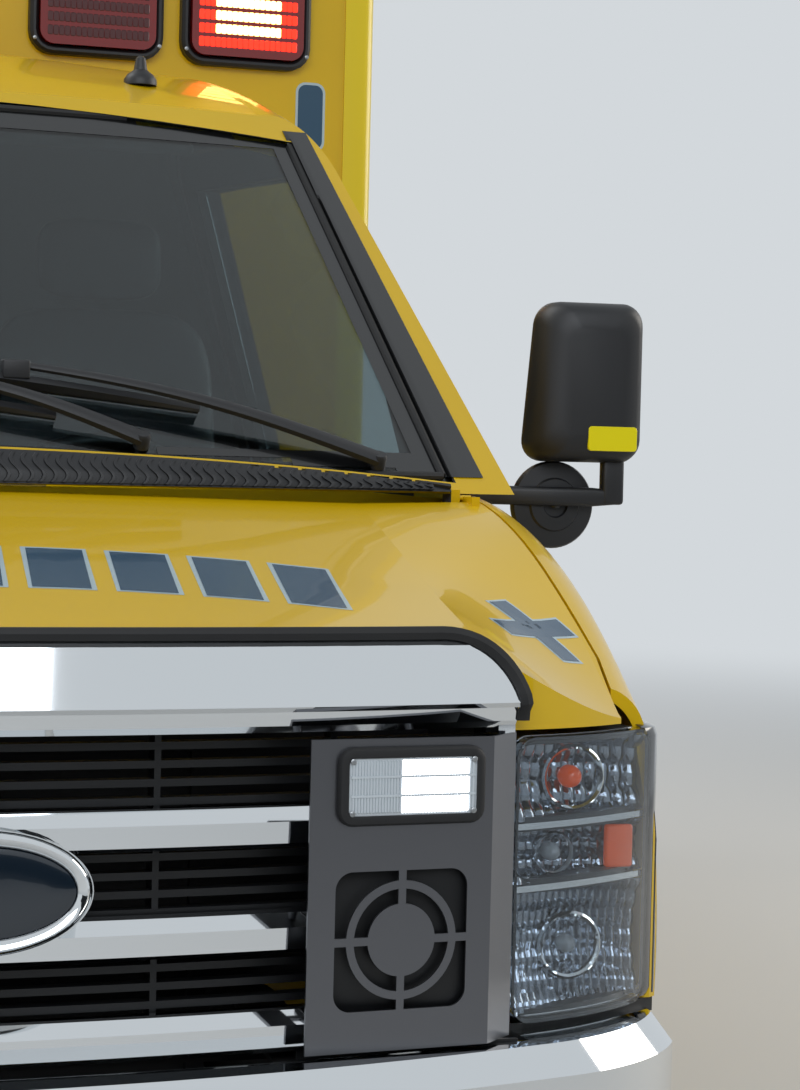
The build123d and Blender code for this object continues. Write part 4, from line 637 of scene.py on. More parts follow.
def add_bezel(mesh: BMesh, face: Face, rect: tuple[float, float, float, float], width: float,
              c0: float, c1: float, radius: float = 24.0, bevel: float = 3.0) -> None:
    """Adds a rounded frame round a rectangle.

    Args:
        mesh: the mesh to add to.
        face: the face that it lies on.
        rect: the opening's sides.
        width: how wide the frame is.
        c0: its back.
        c1: its front.
        radius: the opening's corner radius.
        bevel: the width of its bevels.
    """
    a0, a1, b0, b1 = rect

    def ring(grow: float, c: float) -> list[Vector]:
        """One loop of the frame, grown out from the opening."""
        return [face.at(a, b, c) for a, b in rounded_rect(a0 - grow, a1 + grow, b0 - grow, b1 + grow,
                                                          radius + grow)]

    rings = [ring(width, c0), ring(width, c1 - bevel), ring(width - bevel, c1), ring(bevel, c1),
             ring(0, c1 - bevel), ring(0, c0)]
    add_ring_stack(mesh, rings, looped=True)


def add_bolt(mesh: BMesh, spot: Vector, out: Vector, radius: float, height: float,
             sides: int = 6) -> None:
    """Adds a bolt head with a small bevel.

    Args:
        mesh: the mesh to add to.
        spot: the middle of its foot.
        out: the way that it stands.
        radius: its radius in metres.
        height: its height in metres.
        sides: 6 for a hexagon, or more for a round head.
    """
    out = out.normalized()
    side = out.orthogonal().normalized()
    up = out.cross(side)
    rings = []
    for share, lift in ((1.0, -0.15), (1.0, 0.75), (0.8, 1.0)):
        rings.append([spot + out * (height * lift) + (side * c + up * s) * (radius * share)
                      for c, s in circle(sides)])
    add_ring_stack(mesh, rings)


def add_lug(mesh: BMesh, spot: Vector, across: Vector, up: Vector, turn: float) -> None:
    """Adds one raised lug of tread plate: a low four-sided point.

    Args:
        mesh: the mesh to add to.
        spot: its middle on the plate.
        across: one millimetre along the plate.
        up: one millimetre along the plate, square to the first.
        turn: its turn in degrees.
    """
    out = across.cross(up).normalized() * MM
    cosine, sine = cos(radians(turn)), sin(radians(turn))
    long_way, short_way = across * cosine + up * sine, up * cosine - across * sine
    corners = [spot + long_way * 9, spot + short_way * 2.6, spot - long_way * 9, spot - short_way * 2.6]
    base = [mesh.verts.new(p - out * 0.3) for p in corners]
    top = mesh.verts.new(spot + out * 1.4)
    for i in range(4):
        mesh.faces.new((base[i], base[(i + 1) % 4], top))


def add_pad(mesh: BMesh, matrix: Matrix, half: Vector, power: float = 5.0, channels: int = 0,
            depth: float = 0.006, cells: int = 14) -> None:
    """Adds a crowned cushion with sewn channels along its length.

    Args:
        mesh: the mesh to add to.
        matrix: its place and turn.
        half: its half sizes, with the crowned face on z.
        power: how square it is.
        channels: how many channels run along y.
        depth: how deep they are, in metres.
        cells: how finely it is divided.
    """
    part = bmesh.new()
    bmesh.ops.create_cube(part, size=2)
    bmesh.ops.subdivide_edges(part, edges=part.edges[:], cuts=cells, use_grid_fill=True)
    for vert in part.verts:
        p = vert.co
        reach = (abs(p.x) ** power + abs(p.y) ** power + abs(p.z) ** power) ** (1 / power)
        q = p / reach
        local = Vector((q.x * half.x, q.y * half.y, q.z * half.z))
        local.z *= 1 + 0.14 * (1 - q.x ** 2) * (1 - q.y ** 2) - 0.07
        if channels:
            phase = (q.x * 0.5 + 0.5) * channels
            near = abs(phase - round(phase)) * 2 * half.x / channels
            local.z -= copysign(depth * exp(-(near / 0.007) ** 2), local.z) * min(1, abs(q.z) * 1.2)
        vert.co = local
    bmesh.ops.transform(part, matrix=matrix, verts=part.verts)
    data = bpy.data.meshes.new("pad_part")
    part.to_mesh(data)
    part.free()
    mesh.from_mesh(data)
    bpy.data.meshes.remove(data)


@dataclass
class Decals:
    """Plain vinyl film: a row of bars and two crosses on the hood, and a bar on the box's front wall.

    Lift is how far the film stands off the paint, and edge is the width of the pale edging.
    """

    lift: float = 0.7
    edge: float = 6.0
    bar_width: float = 74.0
    bar_step: float = 110.0
    bar_count: int = 10
    row_front: float = 318.0
    row_back: float = 496.0
    slant: float = 26.0
    bar_shift: float = 18.0
    cross_at: tuple[float, float] = (804.0, 424.0)
    cross_turn: float = 28.0
    cross_arm: float = 66.0
    cross_half: float = 17.0
    cross_edge: float = 4.0
    box_bar: tuple[float, float, float, float] = (1036.0, 1088.0, 1986.0, 2114.0)
    box_edge: float = 5.0

    def lay(self, mesh: BMesh, skin: Surface, outline: list[tuple[float, float]], lift: float,
            cells: int = 12) -> None:
        """Lays a four-sided outline on a skin from above.

        Args:
            mesh: the mesh to add to.
            skin: what it lies on.
            outline: x and distance in millimetres of its corners.
            lift: millimetres above the skin.
            cells: how finely it is divided.
        """
        rows = []
        a, b, c, d = [Vector(p) for p in outline]
        for i in range(cells + 1):
            row = []
            for j in range(cells + 1):
                u, v = i / cells, j / cells
                flat = a * (1 - u) * (1 - v) + b * u * (1 - v) + c * u * v + d * (1 - u) * v
                hit = skin.drop(place(flat.x, flat.y, 1900), FROM_ABOVE)
                row.append(None if hit is None else hit[0] + hit[1] * lift * MM)
            rows.append(row)
        add_grid(mesh, rows)

    def build(self) -> None:
        """Makes the hood's row of bars, the cross at each corner and the bar on the box."""
        hood = Surface("hood")
        blue, pale = bmesh.new(), bmesh.new()
        for k in range(self.bar_count):
            start = (k - self.bar_count / 2) * self.bar_step + self.bar_shift
            for mesh, grow, lift in ((pale, self.edge, self.lift * 0.5), (blue, 0.0, self.lift)):
                front, back = self.row_front - grow, self.row_back + grow
                left, right = start - grow, start + self.bar_width + grow
                self.lay(mesh, hood, [(left - self.slant, front), (right - self.slant, front),
                                      (right, back), (left, back)], lift)
        for side in SIDES:
            centre = Vector((self.cross_at[0] * side, self.cross_at[1]))
            for angle in (self.cross_turn, self.cross_turn + 90):
                way = Vector((cos(radians(angle)) * side, sin(radians(angle))))
                across = Vector((-way.y, way.x))
                for mesh, grow, lift in ((pale, self.cross_edge, self.lift * 0.5), (blue, 0.0, self.lift)):
                    half, arm = self.cross_half + grow, self.cross_arm + grow
                    outline = [centre - way * arm - across * half, centre + way * arm - across * half,
                               centre + way * arm + across * half, centre - way * arm + across * half]
                    self.lay(mesh, hood, [tuple(p) for p in outline], lift)
        new_piece("hood_film_edging", pale, PALE_FILM, "hood_body")
        new_piece("hood_film", blue, BLUE_FILM, "hood_body")
        blue, pale = bmesh.new(), bmesh.new()
        x0, x1, z0, z1 = self.box_bar
        edge = self.box_edge
        for side in SIDES:
            low, high = span(x0, x1, side)
            add_plate(pale, FRONT_WALL, (low - edge, high + edge, z0 - edge, z1 + edge), -0.5, 0.6, 20, 0.2)
            add_plate(blue, FRONT_WALL, (low, high, z0, z1), -0.5, 1.0, 16, 0.2)
        new_piece("box_film_edging", pale, PALE_FILM)
        new_piece("box_film", blue, BLUE_FILM)


@dataclass
class Grille:
    """Badge ring, a black strip that paints the shade of the gap under the brow, siren backing with a black
    strip that paints the shade under each panel, and the lamp in each stainless panel.
    """

    badge_half: tuple[float, float] = (133.0, 73.5)
    badge_at: tuple[float, float, float] = (0.0, 86.0, 857.0)
    lamp: tuple[float, float, float, float] = (438.0, 613.0, 931.0, 1007.0)
    lamp_proud: float = 8.0
    lamp_ribs: int = 42
    panel_front: tuple[float, float] = (102.0, 124.0)
    panel_x: tuple[float, float] = (395.0, 635.0)
    brow_half: float = 685.0
    brow_top: float = 1142.0
    brow_corner: float = 102.0
    gap_shade_width: float = 15.0
    wall_lamps: tuple[float, ...] = (3560.0, 4900.0)
    wall_lamp_z: tuple[float, float] = (2440.0, 2570.0)
    rear_lamps: tuple[tuple[float, ...], ...] = ((900.0, 1110.0, 1030.0, 1100.0), (250.0, 480.0, 2480.0, 2580.0))
    box_lens: tuple[float, ...] = (0.4, 34.0, 24.0, 3.0)
    # The first box backs the siren; the second is a black strip under each panel's foot that paints the shade of
    # the gap there
    backings_and_shade_strips: tuple[tuple[float, ...], ...] = ((424, 609, 131, 134, 692, 874), (398, 684, 146, 152, 630, 650))

    def panel_at(self, x: float, z: float, out: float, side: int) -> Vector:
        """A point on a panel's sloping face.

        Args:
            x: millimetres from the middle.
            z: height in millimetres.
            out: millimetres out of the face.
            side: 1 for left and -1 for right.

        Returns:
            The point in the frame.
        """
        (x0, x1), (y0, y1) = self.panel_x, self.panel_front
        return place(x * side, y0 + (x - x0) / (x1 - x0) * (y1 - y0) - out, z)

    def badge(self) -> None:
        """A chrome ring on the blank oval, with a dark plain field inside."""
        ring, field_mesh = bmesh.new(), bmesh.new()
        x, distance, z = self.badge_at
        half_x, half_z = self.badge_half

        def oval(grow: float, depth: float) -> list[Vector]:
            """One loop of the oval."""
            return [place(x + (half_x + grow) * c, distance + depth, z + (half_z + grow) * s)
                    for c, s in circle(64)]

        add_ring_stack(ring, [oval(grow, depth) for grow, depth in (
            (0, 3), (-3, -5), (-9, -9), (-16, -7), (-21, 0), (-22, 3))], looped=True)
        add_ring_stack(field_mesh, [oval(grow, depth) for grow, depth in (
            (-21, 2), (-21, -2.5), (-28, -4.5), (-48, -6))])
        new_piece("badge_ring", ring, CHROME)
        new_piece("badge_field", field_mesh, BADGE_DARK)

    def brow_gap_shade(self) -> None:
        """A black strip between the brow and the hood, which paints the shade of the gap between them."""
        skin = Surface("grille_surround", "hood")
        corner = self.brow_half - self.brow_corner
        foot = self.brow_top - self.brow_corner
        half = [(0.0, 1.0, i * corner / 20) for i in range(20)]
        half += [(sin(a), cos(a), corner) for a in (radians(90 * i / 16) for i in range(17))]
        width = self.gap_shade_width
        section = ((-1.0, 3.0), (-1.0, -3.0), (width / 2, -6.0), (width, -3.0), (width, 3.0))
        rows = [[(middle + nx * (self.brow_corner + grow), foot + nz * (self.brow_corner + grow), lift)
                 for grow, lift in section] for nx, nz, middle in half]
        mesh = bmesh.new()
        rings, level = [], 0.0
        both_halves = [[(-x, z, lift) for x, z, lift in row] for row in reversed(rows[1:])] + rows
        for row in both_halves:
            found = skin.foremost([(x, z) for x, z, _ in row])
            level = level if found is None else found
            rings.append([Vector((x * MM, level + lift * MM, z * MM)) for x, z, lift in row])
        add_ring_stack(mesh, rings)
        # A black strip in the rubber finish, laid in the gap: it paints the gap's shade
        new_piece("brow_gap_shade", mesh, RUBBER)

    def lenses(self) -> None:
        """Every clear lens, with the panel lamps' lenses set nearly flush as on the real one."""
        mesh = bmesh.new()
        a0, a1, b0, b1 = self.lamp
        for side in SIDES:
            add_ring_stack(mesh, [[self.panel_at(a, b, out, side) for a, b in rounded_rect(
                a0 + inset, a1 - inset, b0 + inset, b1 - inset, 9)] for inset, out in (
                    (0, 0.3), (0, self.lamp_proud - 1), (1, self.lamp_proud))])
            for y in self.wall_lamps:
                add_plate(mesh, side_wall(side), (y, y + 230, *self.wall_lamp_z), *self.box_lens)
            for x0, x1, z0, z1 in self.rear_lamps:
                add_plate(mesh, REAR_WALL, (*span(x0, x1, side), z0, z1), *self.box_lens)
        piece = new_piece("clear_lamp_lenses", mesh, CLEAR_LENS)
        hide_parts("clear_lights")

    def lamps(self) -> None:
        """Gasket, ribs and screws of the lamp in each panel; the one half of each is lit."""
        gasket, dim, lit, screws, backing = (bmesh.new() for _ in range(5))
        a0, a1, b0, b1 = self.lamp
        top = self.lamp_proud
        for side in SIDES:
            add_ring_stack(gasket, [[self.panel_at(a, b, out, side) for a, b in rounded_rect(
                a0 - grow, a1 + grow, b0 - grow, b1 + grow, 10 + grow)] for grow, out in (
                    (9, -1), (9, 5), (6, top + 1), (-1.0, top + 2.4), (-3.5, top + 1.6), (-4, top - 2))],
                looped=True)
            for k in range(self.lamp_ribs):
                x = a0 + 7 + (a1 - a0 - 14) * (k + 0.5) / self.lamp_ribs
                target = lit if 0.40 < k / self.lamp_ribs < 0.95 else dim
                loops = []
                for z, swell in ((b0 + 6, 0.4), (b0 + 8, 2.2), (b1 - 8, 2.2), (b1 - 6, 0.4)):
                    loops.append([self.panel_at(x + dx, z, top + out * swell - 0.4, side)
                                  for dx, out in ((-1.9, 0), (-1.0, 1.0), (1.0, 1.0), (1.9, 0))])
                add_ring_stack(target, loops)
            for share in (0.36, 0.66):
                z = b0 + (b1 - b0) * share
                loops = [[self.panel_at(a, z + dz, top + out, side)
                          for dz, out in ((-1.4, -0.4), (-1.4, 2.4), (1.4, 2.4), (1.4, -0.4))]
                         for a in (a0 + 6, a1 - 6)]
                add_ring_stack(dim, loops)
            for a, b in ((a0 + 8, b0 + 7), (a1 - 8, b0 + 7), (a0 + 8, b1 - 7), (a1 - 8, b1 - 7)):
                add_bolt(screws, self.panel_at(a, b, top + 1.5, side), TO_FRONT, 0.0036, 0.0022, 16)
            # Black boxes behind and under each panel; the lower one paints the shade of the gap under the panel
            for x0, x1, y0, y1, z0, z1 in self.backings_and_shade_strips:
                low, high = span(x0, x1, side)
                add_box(backing, place(low, y0, z0), place(high, y1, z1), 0.001)
        new_piece("panel_lamp_gaskets", gasket, RUBBER)
        new_piece("panel_lamp_ribs", dim, CLEAR_LENS)
        new_piece("panel_lamp_ribs_lit", lit, WHITE_LIT)
        new_piece("panel_screws", screws, MILL_ALUMINIUM)
        new_piece("siren_backing_and_shade_strips", backing, MESH_BLACK)

    def build(self) -> None:
        """Makes the grille's pieces."""
        self.badge()
        self.brow_gap_shade()
        self.lenses()
        self.lamps()


@dataclass
class Headlamps:
    """Reflectors, bulbs and shades inside the clear covers."""

    inner_x: float = 702.0
    outer_x: float = 922.0
    cells: list[tuple[str, float, float, int]] = field(default_factory=lambda: [
        ("turn", 908.0, 1006.0, 11), ("side", 829.0, 896.0, 13), ("main", 664.0, 817.0, 17)])
    cover_x: tuple[float, float] = (693.0, 932.0)
    cover_front: float = 197.0
    cover_sweep: float = 122.0
    side_marker: tuple[float, ...] = (862.0, 900.0, 834.0, 890.0)
    shelves: tuple[float, float] = (902.0, 823.0)

    def cover_at(self, x: float) -> float:
        """The cover's distance behind the bumper's front at an x, in millimetres."""
        share = (x - self.cover_x[0]) / (self.cover_x[1] - self.cover_x[0])
        return self.cover_front + self.cover_sweep * (0.62 * share + 0.38 * share ** 2)

    def build(self) -> None:
        """Makes each compartment of both lamps."""
        mirrors, amber, bulbs, rims, dark, black = (bmesh.new() for _ in range(6))
        for side in SIDES:
            for kind, z0, z1, flutes in self.cells:
                self.reflector(mirrors, side, z0, z1, flutes, kind)
                middle = 800.0 if kind != "side" else 770.0
                depth = self.cover_at(middle) + 46
                height = (z0 + z1) / 2
                self.bulb(amber if kind == "turn" else bulbs, side, middle, depth, height,
                          15.0 if kind == "turn" else 12.0)
                self.shade(rims, side, middle, depth - 14, height, min(44.0, (z1 - z0) / 2 - 6))
            x0, x1, z0, z1 = self.side_marker
            low, high = span(x0, x1, side)
            front = self.cover_at(881) + 16
            add_box(amber, place(low, front, z0), place(high, front + 12, z1), 0.004)
            for z in self.shelves:
                for k in range(12):
                    ends = [self.inner_x + (self.outer_x - self.inner_x) * (k + step) / 12 for step in (0, 1)]
                    loops = [[place(x * side, self.cover_at(x) + 10 + dy, z + dz)
                              for dy, dz in ((0, -4), (0, 4), (26, 5), (26, -5))] for x in ends]
                    add_ring_stack(rims, loops)
            self.outer_rim(dark, side)
            self.wrap(dark, side)
            self.filler(black, side)
        new_piece("headlamp_reflectors", mirrors, REFLECTOR, sharp_degrees=25)
        # The amber lenses' faint glow is painted daylight, not a lit lamp
        new_piece("headlamp_amber", amber, AMBER_PAINTED_GLOW)
        new_piece("headlamp_bulbs", bulbs, BULB)
        new_piece("headlamp_rims", rims, CHROME)
        new_piece("headlamp_outer_rims", dark, SMOKED)
        new_piece("headlamp_fillers", black, RUBBER)

    def outer_rim(self, mesh: BMesh, side: int) -> None:
        """Adds the smoked edge of a headlamp's cover, where it turns back to the fender.

        Args:
            mesh: the mesh to add to.
            side: 1 for left and -1 for right.
        """
        front = self.cover_at(930.0)
        outer = [(926.0, 0.0), (940.0, 9.0), (950.0, 22.0), (956.0, 44.0), (958.0, 66.0)]
        inner = [(x - 4, y + 3) for x, y in reversed(outer)]
        rings = []
        for z, shrink in ((654, 14), (658, 4), (668, 0), (780, 0), (900, 0), (1004, 0), (1014, 4), (1018, 14)):
            rings.append([place((x - shrink * 0.5) * side, front + y + shrink, z)
                          for x, y in outer + inner])
        add_ring_stack(mesh, rings)

    def filler(self, mesh: BMesh, side: int) -> None:
        """Adds the black strip under a headlamp.

        Args:
            mesh: the mesh to add to.
            side: 1 for left and -1 for right.
        """
        rings = []
        for k in range(25):
            x = 640 + 316 * k / 24
            front = self.cover_at(x) + 10
            rings.append([place(x * side, front + dy, z)
                          for dy, z in ((0, 634), (0, 654), (5, 654), (5, 634))])
        add_ring_stack(mesh, rings)

    def wrap(self, mesh: BMesh, side: int) -> None:
        """Adds the smoked end of the cover, where it lies round the fender's side.

        Args:
            mesh: the mesh to add to.
            side: 1 for left and -1 for right.
        """
        skin = Surface("fenders")
        rings = []
        for k in range(9):
            y = 337 + 80 * k / 8
            rise = 0.5 * (y - 337)
            column = []
            for j in range(13):
                z = 660 + (1010 - 660 - rise * 0.4) * j / 12
                hit = skin.drop(place(1300 * side, y, z), Vector((-side, 0, 0)))
                if hit is not None:
                    column.append(hit[0])
            if len(column) == 13:
                rings.append(thick(column, Vector((side, 0, 0)), 0.0022, 0.001))
        if len(rings) > 2:
            add_ring_stack(mesh, rings)

    def reflector(self, mesh: BMesh, side: int, z0: float, z1: float, flutes: int,
                  kind: str) -> None:
        """Adds a dished and fluted reflector.

        Args:
            mesh: the mesh to add to.
            side: 1 for left and -1 for right.
            z0: its bottom.
            z1: its top.
            flutes: how many flutes run down it.
            kind: the compartment's name.
        """
        across, up = flutes * 6, 30
        facets = 6 if kind == "main" else 4
        rows = []
        for i in range(across + 1):
            row = []
            for j in range(up + 1):
                u, v = i / across, j / up
                x = self.inner_x + (self.outer_x - self.inner_x) * u
                dish = (1 - (2 * u - 1) ** 2) * 34 + (1 - (2 * v - 1) ** 2) * 24
                flute = 6.5 * abs(sin(pi * u * flutes))
                facet = 5.0 * abs(sin(pi * (v * facets + 0.8 * u)))
                row.append(place(x * side, self.cover_at(x) + 14 + dish - flute - facet, z0 + (z1 - z0) * v))
            rows.append(row)
        add_grid(mesh, rows)

    def bulb(self, mesh: BMesh, side: int, x: float, y: float, z: float, radius: float) -> None:
        """Adds a glass bulb that points forwards."""
        shape = ((0.55, 26), (0.7, 12), (0.98, 2), (1.0, -6), (0.86, -14), (0.5, -20), (0.12, -22.5))
        add_ring_stack(mesh, [upright_circle(x * side, y + ahead, z, radius * share, 20)
                              for share, ahead in shape])

    def shade(self, mesh: BMesh, side: int, x: float, y: float, z: float, radius: float) -> None:
        """Adds a bright ring round a bulb."""
        shape = ((1.0, 6), (1.0, -2), (0.93, -5), (0.86, -2), (0.86, 6))
        add_ring_stack(mesh, [upright_circle(x * side, y + depth, z, radius * share, 36)
                              for share, depth in shape], looped=True)


@dataclass
class Windshield:
    """Printed black border, rubber seal, wipers, cowl ribs, visors and the inside mirror."""

    bottom_half: float = 852.0
    top_half: float = 742.0
    bottom_z: float = 1337.0
    top_z: float = 1906.0
    cowl_half: float = 820.0
    cowl_low: float = 1318.0
    cowl_high: float = 1361.0
    cowl_fall: float = 34.0
    rib_count: int = 98
    cover_width: float = 66.0
    off_glass: Vector = field(default_factory=lambda: Vector((0, -0.72, 0.69)))
    visor_at: tuple[float, float] = (1560.0, 1880.0)
    visor_x: tuple[float, float] = (120.0, 600.0)
    wipers: tuple[tuple, ...] = (
        ("left_wiper", (742, 1353), (196, 1462), (-90, 1476), (470, 1420)),
        ("right_wiper", (372, 1374), (-30, 1456), (-330, 1466), (250, 1404)))

    def spot(self, skin: Surface, u: float, v: float, out: float) -> Vector | None:
        """A point on the glass.

        Args:
            skin: the windshield's skin.
            u: from -1 at the right edge to 1 at the left edge.
            v: from 0 at the bottom to 1 at the top.
            out: millimetres off the glass.

        Returns:
            The point, or None where there is no glass.
        """
        half = self.bottom_half + (self.top_half - self.bottom_half) * v
        z = self.bottom_z + (self.top_z - self.bottom_z) * v
        hit = skin.drop(place(half * u, RAY_START, z), FROM_FRONT)
        return None if hit is None else hit[0] + hit[1] * out * MM

    def border(self, skin: Surface) -> None:
        """The printed black border.

        Args:
            skin: the windshield's skin.
        """
        mesh = bmesh.new()
        across, up = 90, 50
        grid = {}
        for i in range(across + 1):
            for j in range(up + 1):
                u, v = 2 * i / across - 1, j / up
                if abs(u) > 0.94 or v < 0.07 or v > 0.93:
                    grid[i, j] = self.spot(skin, u, v, 0.6)
        made = {key: mesh.verts.new(p) for key, p in grid.items() if p is not None}
        for i in range(across):
            for j in range(up):
                u, v = 2 * (i + 0.5) / across - 1, (j + 0.5) / up
                if abs(u) > 0.955 or v < 0.06 or v > 0.94:
                    keys = [(i, j), (i + 1, j), (i + 1, j + 1), (i, j + 1)]
                    if all(key in made for key in keys):
                        mesh.faces.new([made[key] for key in keys])
        loose = [v for v in mesh.verts if not v.link_faces]
        bmesh.ops.delete(mesh, geom=loose, context="VERTS")
        new_piece("windshield_border", mesh, FRIT)

    def seal(self, skin: Surface) -> None:
        """The rubber seal round the glass.

        Args:
            skin: the windshield's skin.
        """
        mesh = bmesh.new()
        paths = [[(u / 24 - 1, 0.0) for u in range(49)], [(u / 24 - 1, 1.0) for u in range(49)],
                 [(1.0, v / 20) for v in range(21)], [(-1.0, v / 20) for v in range(21)]]
        for path in paths:
            points = [self.spot(skin, u * 0.998, v, 1.0) for u, v in path]
            points = [p for p in points if p is not None]
            if len(points) > 3:
                tube(mesh, points, 0.0065, 8)
        new_piece("windshield_seal", mesh, RUBBER)

    def wiper(self, skin: Surface, name: str, pivot: tuple[float, float], knee: tuple[float, float],
              tip: tuple[float, float], start: tuple[float, float]) -> None:
        """Makes one wiper: its pivot cap, its tapered arm and its blade.

        Args:
            skin: the windshield's skin.
            name: the piece's name.
            pivot: x and height of the pivot, on the glass's foot.
            knee: x and height where the arm meets the blade.
            tip: x and height of the blade's far end.
            start: x and height of the blade's near end.
        """
        def on_glass(x: float, z: float, out: float) -> Vector:
            """A point in front of the glass, or in front of the cowl below it."""
            hit = skin.drop(place(x, RAY_START, max(z, 1342)), FROM_FRONT)
            return hit[0] + hit[1] * out * MM if hit else place(x, 880 - out, z)

        mesh = bmesh.new()
        foot = on_glass(*pivot, 13)
        add_bolt(mesh, foot - Vector((0, -0.006, 0.010)), Vector((0, -0.6, 1)), 0.012, 0.020, 24)
        arm_end = on_glass(*knee, 34)
        points = []
        for k in range(15):
            t = k / 14
            points.append(foot.lerp(arm_end, t) + Vector((0, -0.35, 0.9)) * (0.020 * sin(pi * t)))
        rings = []
        for k, point in enumerate(points):
            t = k / 14
            width, height = 0.013 - 0.007 * t, 0.008 - 0.004 * t
            ahead = (points[min(k + 1, 14)] - points[max(k - 1, 0)]).normalized()
            side = ahead.cross(self.off_glass).normalized()
            rings.append([point + side * (width * a) + self.off_glass * (height * b)
                          for a, b in ((-1, -0.6), (-0.9, 0.5), (-0.4, 1), (0.4, 1), (0.9, 0.5), (1, -0.6))])
        add_ring_stack(mesh, rings)
        blade = [on_glass(start[0] + (tip[0] - start[0]) * k / 24, start[1] + (tip[1] - start[1]) * k / 24, 3.0)
                 for k in range(25)]
        side = (blade[-1] - blade[0]).normalized().cross(self.off_glass).normalized()
        rings = []
        for k, point in enumerate(blade):
            lift = 0.014 + 0.010 * sin(pi * k / 24)
            rings.append([point + side * a + self.off_glass * b for a, b in (
                (-0.0015, 0.0), (-0.0030, 0.008), (-0.0085, 0.011), (-0.0060, lift), (0.0060, lift),
                (0.0085, 0.011), (0.0030, 0.008), (0.0015, 0.0))])
        add_ring_stack(mesh, rings)
        add_box(mesh, arm_end + Vector((-0.02, -0.012, -0.022)), arm_end + Vector((0.02, 0.014, 0.006)),
                0.003)
        new_piece(name, mesh, BLACK_ABS)

    def pillar_covers(self) -> None:
        """Black glass over the inner part of each pillar's front."""
        skin = Surface("cab_shell", "windshield")
        mesh = bmesh.new()
        shares = [-0.12 + 1.12 * i / 15 for i in range(16)]
        for side in SIDES:
            rings = []
            for j in range(41):
                v = j / 40
                half = self.bottom_half + (self.top_half - self.bottom_half) * v
                z = self.bottom_z + (self.top_z - self.bottom_z) * v
                width = self.cover_width * (1 - 0.42 * v)
                front = []
                for share in shares:
                    x = half + width * share
                    y = skin.foremost([((x + shift) * side, z) for shift in (-3, 0, 3)])
                    if y is not None:
                        front.append(Vector((x * side * MM, y, z * MM)))
                if len(front) == len(shares):
                    rings.append(thick(front, TO_FRONT, 0.002, 0.002))
            add_ring_stack(mesh, rings)
        new_piece("pillar_covers", mesh, FRIT)

    def ledge(self) -> None:
        """A black seal on the cab's ledge, under the cowl's lower edge."""
        skin = Surface("cab_shell")
        mesh = bmesh.new()
        for start, end in ((-self.cowl_half, 0.0), (0.0, self.cowl_half)):
            rings = []
            for k in range(31):
                x = start + (end - start) * k / 30
                near = 800.5 + 87.0 * (x / 893) ** 2
                hits = [skin.drop(place(x, near + share * 26, 1314.5), FROM_ABOVE)
                        for share in (0, 0.5, 1)]
                found = [hit[0] for hit in hits if hit is not None and hit[0].z > 1.27]
                if len(found) == 3:
                    rings.append(thick(found, Vector((0, 0, 1)), 0.0012, 0.001))
            if len(rings) > 2:
                add_ring_stack(mesh, rings)
        if mesh.verts:
            new_piece("cowl_seal", mesh, RUBBER)
        else:
            mesh.free()

    def cowl_ribs(self) -> None:
        """Curved ribs along the cowl, over a black backing."""
        skin = Surface("cowl_grille")

        def column(x: float) -> list[Vector]:
            """Points up the cowl's outer face, bridged over its slots.

            Args:
                x: where, in millimetres from the middle.

            Returns:
                Nine points from the foot up, or none where the cowl ends.
            """
            top = self.cowl_high - self.cowl_fall * (x / self.cowl_half) ** 2
            points = []
            for j in range(9):
                z = self.cowl_low + (top - self.cowl_low) * j / 8
                y = skin.foremost([(x + shift, z) for shift in range(-16, 17, 4)])
                if y is not None:
                    points.append(Vector((x * MM, y, z * MM)))
            return points if len(points) == 9 else []

        mesh = bmesh.new()
        rings = []
        for k in range(61):
            front = column(-self.cowl_half + 2 * self.cowl_half * k / 60)
            if front:
                rings.append(thick(front, TO_FRONT, 0.0008, 0.003))
        add_ring_stack(mesh, rings)
        for k in range(self.rib_count):
            front = column(-self.cowl_half + 8 + 2 * (self.cowl_half - 8) * k / (self.rib_count - 1))
            rings = []
            for j, base in enumerate(front):
                sway = 6.5 * sin(pi * 2 * j / 8)
                rings.append([base + Vector(((dx + sway) * MM, dy * MM, 0)) for dx, dy in (
                    (-3.4, 0.5), (-2.2, -3.6), (2.2, -3.6), (3.4, 0.5))])
            if rings:
                add_ring_stack(mesh, rings)
        new_piece("cowl_ribs", mesh, BLACK_ABS)

    def inside(self) -> None:
        """Sun visors and the mirror behind the glass."""
        mesh = bmesh.new()
        for side in SIDES:
            low, high = span(*self.visor_x, side)
            tilt = Matrix.Translation(place(0, *self.visor_at)) @ Matrix.Rotation(radians(8), 4, "X")
            add_box(mesh, Vector((low * MM, -0.075, -0.011)), Vector((high * MM, 0.075, 0.011)), 0.009, tilt)
        new_piece("sun_visors", mesh, HEADLINER)
        mesh = bmesh.new()
        add_box(mesh, place(-118, 1432, 1752), place(118, 1454, 1818), 0.010)
        tube(mesh, [place(0, 1440, 1800), place(0, 1430, 1850), place(0, 1424, 1874)], 0.008, 10)
        new_piece("inside_mirror", mesh, BLACK_ABS)

    def build(self) -> None:
        """Makes the pieces of the windshield."""
        skin = Surface("windshield")
        self.border(skin)
        self.seal(skin)
        self.pillar_covers()
        self.ledge()
        for values in self.wipers:
            self.wiper(skin, *values)
        self.cowl_ribs()
        self.inside()


